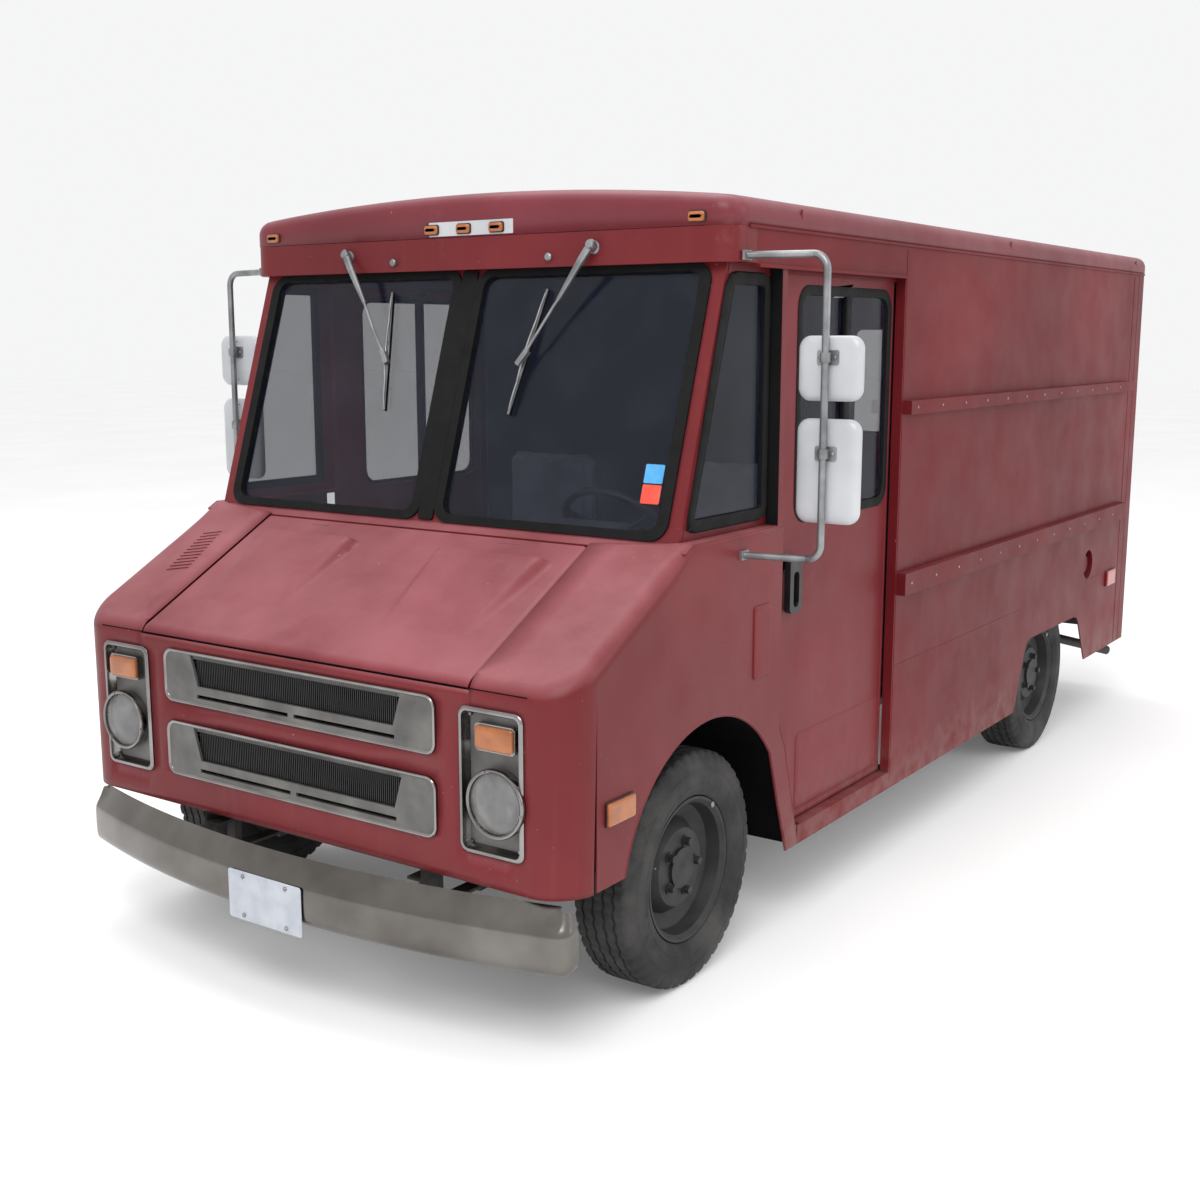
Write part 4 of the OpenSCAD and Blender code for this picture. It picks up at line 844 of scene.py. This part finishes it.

# louvres on the right-hand shoulder of the nose, with painted shade in their slots, and the vent flaps beside
# the cowl
slope = Matrix.Translation(at(0, 0, LIP_Z)) @ Matrix.Rotation(HOOD_ANGLE, 4, "X")
b, dark = Build(slope), Build(slope)
for i in range(12):
    t = (i + 0.5) / 12
    a = Vector((-0.842 - 0.026 * t, (0.239 + 0.199 * t) / cos(HOOD_ANGLE), 0))
    c = Vector((-0.756 - 0.041 * t, (0.261 + 0.196 * t) / cos(HOOD_ANGLE), 0))
    d = (c - a).normalized()
    nrm = Vector((-d.y, d.x, 0))
    slot_half, lip = nrm * 0.0035, Vector((0, 0, 0.0045)) - nrm * 0.001
    # painted shade: a flat deep black strip on the hood where each slot opens
    dark.prism([a - slot_half, c - slot_half, c + slot_half, a + slot_half], -0.001, 0.0009, "free")
    b.add([a + slot_half, c + slot_half, c + nrm * 0.008, a + nrm * 0.008, a + lip, c + lip],
          [[0, 1, 5, 4], [4, 5, 2, 3], [0, 4, 3], [1, 2, 5], [0, 3, 2, 1]])
b.make("louvre_lips", HOOD)
dark.make("louvre_slot_painted_shade", VOID)
b = Build()
flap = ((-0.001, 0), (0.003, 0), (0.005, 0.002), (0.006, 0.010))
b.pillow((0.972, 0.900, 1.077, 1.131), 0.014, flap, "x", HALF)
b.mirrored().make("cowl_flaps", DOOR)

# ---- windshield: centre post, squares stuck on the glass, wipers ----
GLASS_TILT = radians(72.14)
SHIELD = Matrix.Translation(at(0, 0.6034, 1.3642)) @ Matrix.Rotation(GLASS_TILT, 4, "X")
post = Build(SHIELD).prism(round_rect(-0.031, 0.004, 0.031, 0.832, 0.01), 0.0004, 0.0095, "free")
post.make("centre_post", BLACK, bevel=0.002)
for name, colour, y0, y1 in (("sticker_upper", SKY_BLUE, 0.172, 0.229),
                             ("sticker_lower", ORANGE, 0.111, 0.168)):
    Build(SHIELD).prism(round_rect(0.795, y0, 0.860, y1, 0.004), -0.0059, -0.0056, "free").make(name, colour)

# half width, base and height of the wiper arm's channel by distance along it
ARM = ((0.017, 0.0090, 0.072, 0.012), (-0.02, 0.0125, 0.070, 0.015), (-0.06, 0.0118, 0.066, 0.014),
       (-0.13, 0.0092, 0.055, 0.012), (-0.195, 0.0065, 0.046, 0.009))
ROD = [(0, -0.185, 0.0505), (0, -0.225, 0.0480), (0.002, -0.30, 0.041), (0.001, -0.355, 0.034),
       (0, -0.392, 0.0285)]
RUBBER = ((-0.0035, 0.0085), (0.0035, 0.0085), (0.0035, 0.005), (0.0012, 0.003), (0.0008, -0.0050),
          (-0.0008, -0.0050), (-0.0012, 0.003), (-0.0035, 0.005))
for side, s in SIDES:
    place = SHIELD @ Matrix.Translation((0.511, 0.87528, 0)) @ Matrix.Rotation(radians(-33), 4, "Z")
    b = Build(place)
    b.lathe([(0.058, 0.0), (0.058, 0.0150), (0.082, 0.0158), (0.0870, 0.0130), (0.0885, 0.0)], (0, 0, 0), UP,
            32)
    b.lathe([(0.0345, 0.0), (0.0345, 0.0068), (0.060, 0.0068)], (0, 0, 0), UP, 20)
    arm_shape = ((-1, 0), (1, 0), (1, 0.6), (0.55, 1), (-0.55, 1), (-1, 0.6))
    b.loops([[(w * u, y, z0 + h * v) for u, v in arm_shape] for y, w, z0, h in ARM])
    b.tube(ROD, 0.0046, 12)
    b.box((-0.009, -0.433, 0.0165), (0.009, -0.377, 0.0335), "free")
    b.tube([(-0.010, -0.405, 0.024), (0.010, -0.405, 0.024)], 0.0035, 12)
    blade = place @ Matrix.Translation((0, -0.405, 0)) @ Matrix.Rotation(radians(24), 4, "Z")
    b.place = blade
    for lo, hi, rise in ((-0.10, 0.15, 0.0105), (-0.165, -0.045, 0.004), (0.055, 0.215, 0.004)):
        mid, half = (lo + hi) / 2, (hi - lo) / 2
        b.tube([(0, mid + half * t, 0.0125 + rise * (1 - t * t)) for t in (k / 4 for k in range(-4, 5))],
               0.0036, 10)
    b.box((-0.0042, -0.180, 0.0085), (0.0042, 0.230, 0.0118), "free")
    rubber = Build(blade)
    rubber.loops([[(x, y, z) for x, z in RUBBER] for y in (-0.182, 0.232)])
    boss = Build()
    boss.lathe([(-0.001, 0.0), (-0.001, 0.021), (0.004, 0.020), (0.007, 0.0135)], at(0.511, 0.820, 2.214),
               AHEAD, 32)
    x = 0.340 if s > 0 else 0.307
    boss.lathe([(-0.001, 0.0), (-0.001, 0.013), (0.009, 0.013), (0.013, 0.009), (0.014, 0.0)],
               at(x, 0.820, 2.190), AHEAD, 24)
    for part in (b, rubber, boss):
        part.flipped(s)
    b.make("wiper_arm_" + side, TRIM, "wiper_" + side, ["wiper_" + side], bevel=0.0007)
    rubber.make("wiper_rubber_" + side, BLACK, "wiper_" + side)
    boss.make("wiper_boss_" + side, TRIM)


# ---- seals, doors and their glass ----
def seal(outer, inner, depths, plane):
    """A soft seal round an opening. outer and inner are (x0, y0, x1, y1, r)."""
    base, mid, crown, back = depths
    rings = []
    for (*corners, r), i, d in ((outer, 0, base), (outer, 0, mid), (outer, 0.004, crown),
                                (inner, -0.005, crown), (inner, -0.001, mid), (inner, 0, back)):
        rings.append([PLANES[plane](p, d) for p in inset(corners, i, max(r - i, 0.004), 10)])
    return Build().loops(rings, close=True)


DOOR_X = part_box("door_left")[1].x
for side, s in SIDES:
    body = "door_" + side
    outline = [(1.160, 2.146), (2.034, 2.146), (2.034, 0.346), (1.330, 0.346), (1.196, 0.660), (1.160, 0.740)]
    b = Build()
    plate(b, outline, [round_rect(1.313, 1.365, 1.998, 2.093, 0.06, 10)], DOOR_X - 0.025, DOOR_X)
    # pressed edge and kick panel
    kick = ((-0.001, 0), (0.0015, 0.002), (0.003, 0.006), (0.0031, 0.03))
    b.pillow((1.345, 0.372, 2.010, 0.640), 0.02, kick, "x", DOOR_X)
    rings = []
    for d, i in ((-0.001, 0.0), (0.002, 0.0015), (0.002, 0.012), (-0.001, 0.0135)):
        top, low, back = 2.143 - i, 0.349 + i, 2.031 - i
        edge = ((1.163 + i, top), (back, top), (back, low), (1.332 + i * 0.8, low), (1.199 + i, 0.661),
                (1.163 + i, 0.741))
        rings.append([at(DOOR_X + d, y, z) for y, z in edge])
    b.loops(rings, close=True)
    b.flipped(s).make("door_skin_" + side, DOOR, body, [body], bevel=0.0015)
    b = Build()
    plate(b, round_rect(1.652, 1.367, 1.996, 2.091, 0.055, 8), [], DOOR_X - 0.010, DOOR_X - 0.006)
    b.flipped(s).make("door_fixed_glass_" + side, GLASS, body)
    depths = [DOOR_X + d for d in (-0.001, 0.002, 0.0035, -0.014)]
    b = seal((1.297, 1.349, 2.014, 2.109, 0.074), (1.329, 1.381, 1.982, 2.077, 0.050), depths, "x")
    bar = ((-0.012, 0), (0.0, 0.0), (0.003, 0.004), (0.0034, 0.012))
    b.stack([(round_rect(1.648 + i, 1.372, 1.690 - i, 2.086, 0.004), DOOR_X + d) for d, i in bar])
    b.flipped(s).make("door_seal_" + side, BLACK, body)
    b = Build()
    b.lathe([(0.0, 0.0), (0.0, 0.030), (0.003, 0.030), (0.006, 0.025)], at(DOOR_X - 0.001, 1.258, 1.228),
            ACROSS, 40)
    b.flipped(s).make("handle_plate_" + side, CHROME, body)

for side, s in SIDES:
    body = "rear_door_" + side
    b = Build()
    window = round_rect(0.150, 1.380, 0.660, 2.000, 0.05)
    plate(b, round_rect(0.002, 0.650, 0.797, 2.174, 0.006, 2), [window], 5.154, 5.184, "y")
    panel = ((0, 0), (0.003, 0.004), (0.004, 0.010), (0.004, 0.03))
    b.pillow((0.10, 0.74, 0.70, 1.26), 0.03, panel, "y", 5.183)
    for z in (0.82, 1.40, 1.98):
        b.lathe([(-0.023, 0.006), (-0.023, 0.011), (0.023, 0.011), (0.023, 0.006)], at(0.804, 5.202, z), UP, 20)
        b.box((0.730, 5.184, z - 0.023), (0.792, 5.2055, z + 0.023))
        b.box((0.791, 5.198, z - 0.023), (0.797, 5.206, z + 0.023))
    b.flipped(s).make("rear_door_skin_" + side, REAR, body, [body], bevel=0.0015)
    b = Build()
    plate(b, window, [], 5.166, 5.171, "y")
    b.flipped(s).make("rear_glass_" + side, GLASS, body)
    depths = (5.183, 5.189, 5.193, 5.175)
    b = seal((0.137, 1.367, 0.673, 2.013, 0.062), (0.165, 1.395, 0.645, 1.985, 0.04), depths, "y")
    b.flipped(s).make("rear_seal_" + side, BLACK, body)

# dark gasket faces round the quarter windows, and the shadowed front of each door post
b = Build()
GASKET_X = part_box("window_gaskets")[1].x
rings = []
for g, d in ((0.010, -0.011), (0.010, -0.004), (0.006, 0.001), (-0.014, 0.002), (-0.026, -0.002),
             (-0.028, -0.012)):
    pts = []
    q = [(0.642 - g, 1.398 - g), (1.098 + g, 1.398 - g), (1.098 + g, 2.126 + g), (0.866 - g * 0.7, 2.126 + g)]
    for k in range(4):
        p, c, m = Vector(q[k - 1]), Vector(q[k]), Vector(q[(k + 1) % 4])
        r = 0.045 + g
        a, e = c + (p - c).normalized() * r, c + (m - c).normalized() * r
        for i in range(7):
            t = i / 6
            pts.append(tuple(a * (1 - t) ** 2 + c * 2 * t * (1 - t) + e * t * t))
    rings.append([at(GASKET_X + d, y, z) for y, z in pts])
b.loops(rings, close=True)
b.mirrored().make("quarter_seals", BLACK)
b = Build()
b.box((0.957, 1.1162, 1.370), (0.9985, 1.1178, 2.150))
b.mirrored().make("post_shadows", BLACK)

# ---- mirrors ----
TUBE_X, TUBE_Y = 1.240, 0.927
HEAD_HALF = 0.101
SHELL_LAYERS = ((0.9745, 0.006), (0.977, 0.004), (0.977, 0.001), (0.974, 0.0), (0.963, 0.0), (0.956, 0.004),
                (0.951, 0.012), (0.9485, 0.024), (0.9475, 0.042), (0.947, 0.07))


def mirror_shape(low, high, i):
    corners = (TUBE_X - HEAD_HALF, low, TUBE_X + HEAD_HALF, high)
    return inset(corners, i, max(0.038 - i * 0.35, 0.012), 10)


for side, s in SIDES:
    for tag, low, high, clamp in (("upper", 1.763, 1.950, 1.888), ("lower", 1.407, 1.712, 1.613)):
        where = tag + "_" + side
        body = "mirror_" + where
        b = Build()
        b.stack([(mirror_shape(low, high, i), d) for d, i in SHELL_LAYERS], "y")
        b.flipped(s).make("mirror_shell_" + where, SHELL, body, [body], angle=50)
        b = Build()
        b.prism(mirror_shape(low, high, 0.007), 0.9735, 0.9765, "y")
        b.flipped(s).make("mirror_glass_" + where, REFLECT, body, slot="mirror_shell")
        b = Build()
        collar = [(-0.014, 0.01125), (-0.014, 0.0165), (0.014, 0.0165), (0.014, 0.01125)]
        b.lathe(collar, at(TUBE_X, TUBE_Y, clamp), UP, 32, close=True)
        pad = round_rect(TUBE_X - 0.034, clamp - 0.021, TUBE_X + 0.034, clamp + 0.021, 0.006)
        b.prism(pad, 0.9425, 0.9480, "y")
        b.box((TUBE_X - 0.010, 0.940, clamp - 0.011), (TUBE_X + 0.010, 0.944, clamp + 0.011))
        for dx in (-0.024, 0.024):
            bolt = [(0.0, 0.0055), (0.004, 0.0055), (0.0055, 0.0035), (0.0058, 0.0)]
            b.lathe(bolt, at(TUBE_X + dx, 0.9425, clamp), AHEAD, 14)
        for z in (low + 0.022, high - 0.022):
            b.lathe([(0.0, 0.0035), (0.002, 0.003), (0.0024, 0.0)], at(TUBE_X, 0.9482, z), AHEAD, 12)
        b.flipped(s).make("mirror_clamp_" + where, TRIM, body, slot="mirror_steel", bevel=0.0008)

# ---- lamps on the body ----
amber, red, base = Build(), Build(), Build()


def bar_lamp(lens_into, corners, start, way, plane):
    """A moulded marker lamp on a thin base; way is the direction that it faces."""
    rim, lid = inset(corners, 0, 0.008), inset(corners, 0.002, 0.006)
    base.stack([(rim, start), (rim, start + way * 0.005), (lid, start + way * 0.0055)], plane)
    layers = ((0.005, 0.003), (0.011, 0.003), (0.0135, 0.006), (0.0145, 0.011), (0.0145, 0.014))
    lens_into.pillow(corners, 0.008, layers, plane, start, way)


for x in (-0.135, 0.0, 0.135, 0.875, -0.875):
    bar_lamp(amber, (x - 0.030, 2.272, x + 0.030, 2.306), 0.8198, -1, "y")
for x in (-0.135, 0.0, 0.135, 0.88, -0.88):
    bar_lamp(red, (x - 0.030, 2.272, x + 0.030, 2.306), 5.190, 1, "y")
for s in (1, -1):
    bar_lamp(amber, (0.166, 0.651, 0.304, 0.721), HALF * s, s, "x")
    bar_lamp(red, (4.750, 0.665, 4.900, 0.748), HALF * s, s, "x")
    for z, into in ((0.76, red), (0.88, amber)):
        c = at(0.905 * s, 5.190, z)
        base.lathe([(0.0, 0.0), (0.0, 0.050), (0.008, 0.050), (0.010, 0.046)], c, BACKWARD, 48)
        into.lathe([(0.009, 0.046), (0.013, 0.045), (0.018, 0.034), (0.021, 0.016), (0.0215, 0.0)], c,
                   BACKWARD, 48)
base.make("lamp_bases", PLASTIC, stands_for=["marker_lamps"])
amber.make("lamps_amber", AMBER)
red.make("lamps_red", RED)
backing = Build().prism(round_rect(-0.149, 2.268, 0.200, 2.313, 0.003), 0.8180, 0.8199, "y")
backing.make("lamp_backing", SHELL, bevel=0.0004)

# ---- seams, gutters and drip rails ----
b = Build()
laps = [(0.010, 0.955, 2.148, 2.046, 2.158), (0.006, 0.90, 2.2585, 5.13, 2.2675),
        (0.0012, 2.050, 0.300, 2.064, 2.25), (0.0012, 4.965, 0.345, 4.977, 2.25),
        (0.0011, 2.066, 0.737, 3.46, 0.746), (0.0011, 4.42, 0.737, 4.964, 0.746)]
laps += [(0.0014, y - 0.006, 2.268, y + 0.006, 2.330) for y in (1.23, 3.1, 4.97)]
for proud, y0, z0, y1, z1 in laps:
    b.box((HALF - 0.001, y0, z0), (HALF + proud, y1, z1))
b.mirrored().make("seam_laps", BODY, bevel=0.0004)
b = Build()
b.box((HALF - 0.0005, 5.0488, 0.340), (HALF + 0.0004, 5.0512, 2.262))
b.box((0.9, 0.8193, 2.2628), (-0.9, 0.8205, 2.2652))
b.mirrored().make("seam_lines", VOID)
b = Build()
for y in [2.12 + 0.235 * i for i in range(12)]:
    for z in (1.051, 1.6955):
        b.lathe([(-0.001, 0.0), (-0.001, 0.006), (0.0015, 0.0045), (0.0022, 0.0)], at(HALF + 0.032, y, z),
                ACROSS, 12)
b.mirrored().make("rail_screws", TRIM)

# ---- dash vents ----
b = Build()
for x0 in (-0.70, -0.35, 0.05, 0.60):
    for i in range(9):
        b.box((x0, 0.665 + i * 0.012, 1.3435), (x0 + 0.20, 0.6695 + i * 0.012, 1.3475))
    outer = round_rect(x0 - 0.008, 0.655, x0 + 0.208, 0.776, 0.008)
    b.frame(outer, round_rect(x0 - 0.002, 0.661, x0 + 0.202, 0.770, 0.006), 1.3430, 1.3490, "z")
b.make("dash_vents", PLASTIC)


# ---- seats ----
def smooth(o):
    s = o.modifiers.new("smooth", "SUBSURF")
    s.levels = s.render_levels = 1


def stuffed(name, low, high, cap, channels):
    """A padded form: a slightly small block, puffed by cloth pressure, with sewn channels pressed in after it.
    cap is the furthest that the pressure may move a point; channels are across the width, -1 to 1."""
    low, high = Vector(low), Vector(high)
    mid, size = (low + high) / 2, (high - low)
    bm = bmesh.new()
    bmesh.ops.create_cube(bm, size=1)
    for v in bm.verts:
        v.co = Vector([v.co[k] * (size[k] - 0.012) for k in range(3)]) + mid
    bmesh.ops.bevel(bm, geom=bm.edges[:], offset=0.026, segments=4, affect="EDGES")
    me = bpy.data.meshes.new(name)
    bm.to_mesh(me)
    bm.free()
    o = new_object(name, me)
    r = o.modifiers.new("even", "REMESH")
    r.mode, r.voxel_size = "VOXEL", 0.0085
    dg = bpy.context.evaluated_depsgraph_get()
    o.data = bpy.data.meshes.new_from_object(o.evaluated_get(dg))
    o.modifiers.clear()
    rest = [v.co.copy() for v in o.data.vertices]
    c = o.modifiers.new("puff", "CLOTH")
    c.settings.use_pressure = True
    c.settings.uniform_pressure_force = 4
    c.settings.effector_weights.gravity = 0
    c.settings.quality = 4
    c.point_cache.frame_start, c.point_cache.frame_end = 1, 20
    for k in range(1, 21):
        bpy.context.scene.frame_set(k)
    dg = bpy.context.evaluated_depsgraph_get()
    o.data = bpy.data.meshes.new_from_object(o.evaluated_get(dg))
    o.modifiers.clear()
    bpy.context.scene.frame_set(1)
    for v, p in zip(o.data.vertices, rest):
        d = v.co - p
        if d.length > cap:
            d *= cap / d.length
        q = p + d
        u = (q.x - mid.x) / (size.x / 2)
        for channel in channels:
            dip = 0.007 * exp(-((u - channel) * size.x / 2 / 0.010) ** 2)
            q = q - (q - mid).normalized() * dip
        v.co = Vector([min(max(q[k], low[k]), high[k]) for k in range(3)])
    for f in o.data.polygons:
        f.use_smooth = True
    smooth(o)
    o.data.materials.clear()
    o.data.materials.append(VINYL)
    return o


for node, width, channels in (("seat_cushions", 0.45, (-0.5, 0.0, 0.5)),
                              ("seat_backs", 0.44, (-0.45, 0.0, 0.45))):
    lo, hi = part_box(node)
    lead = stuffed(node + "_driver", (hi.x - width, lo.y, lo.z), hi, 0.012, channels)
    other = new_object(node + "_passenger", lead.data.copy())
    other.data.transform(Matrix.Translation((lo.x - (hi.x - width), 0, 0)))
    smooth(other)
    for o in (lead, other):
        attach(o, "body")
        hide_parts(node)

# ---- floor and light ----
me = bpy.data.meshes.new("floor_sheet")
me.from_pydata([(-60, -60, 0), (60, -60, 0), (60, 60, 0), (-60, 60, 0)], [], [[0, 1, 2, 3]])
m = Mat("floor_pale", rough=0.9)
m.set(m.b, {"Emission Color": (1.0, 1.0, 1.0, 1.0), "Emission Strength": 0.1})
me.materials.append(m.done(m.mix(m.fade(m.noise(0.7, 3), 0.3, 0.7), (238, 238, 238), (243, 243, 243))))
floor = new_object("floor_sheet", me)

world = bpy.data.worlds.new("studio")
bpy.context.scene.world = world
world.use_nodes = True
world.node_tree.nodes["Background"].inputs["Color"].default_value = (0.955, 0.957, 0.965, 1)
world.node_tree.nodes["Background"].inputs["Strength"].default_value = 0.96
bpy.context.scene.view_settings.view_transform = "Standard"


def soft_light(name, place, target, size, watts):
    d = bpy.data.lights.new(name, "AREA")
    d.size, d.energy = size, watts
    o = new_object(name, d)
    o.location = place
    o.rotation_mode = "QUATERNION"
    o.rotation_quaternion = (Vector(target) - Vector(place)).to_track_quat("-Z", "Y")


soft_light("key", (3.5, -7.5, 7.5), (0, -0.5, 1.0), 5.0, 470)
soft_light("top", (-1.5, 0.5, 9.0), (0, 0, 1.2), 6.0, 360)
soft_light("side", (9.0, 1.5, 4.5), (0.5, 0, 1.2), 5.0, 160)
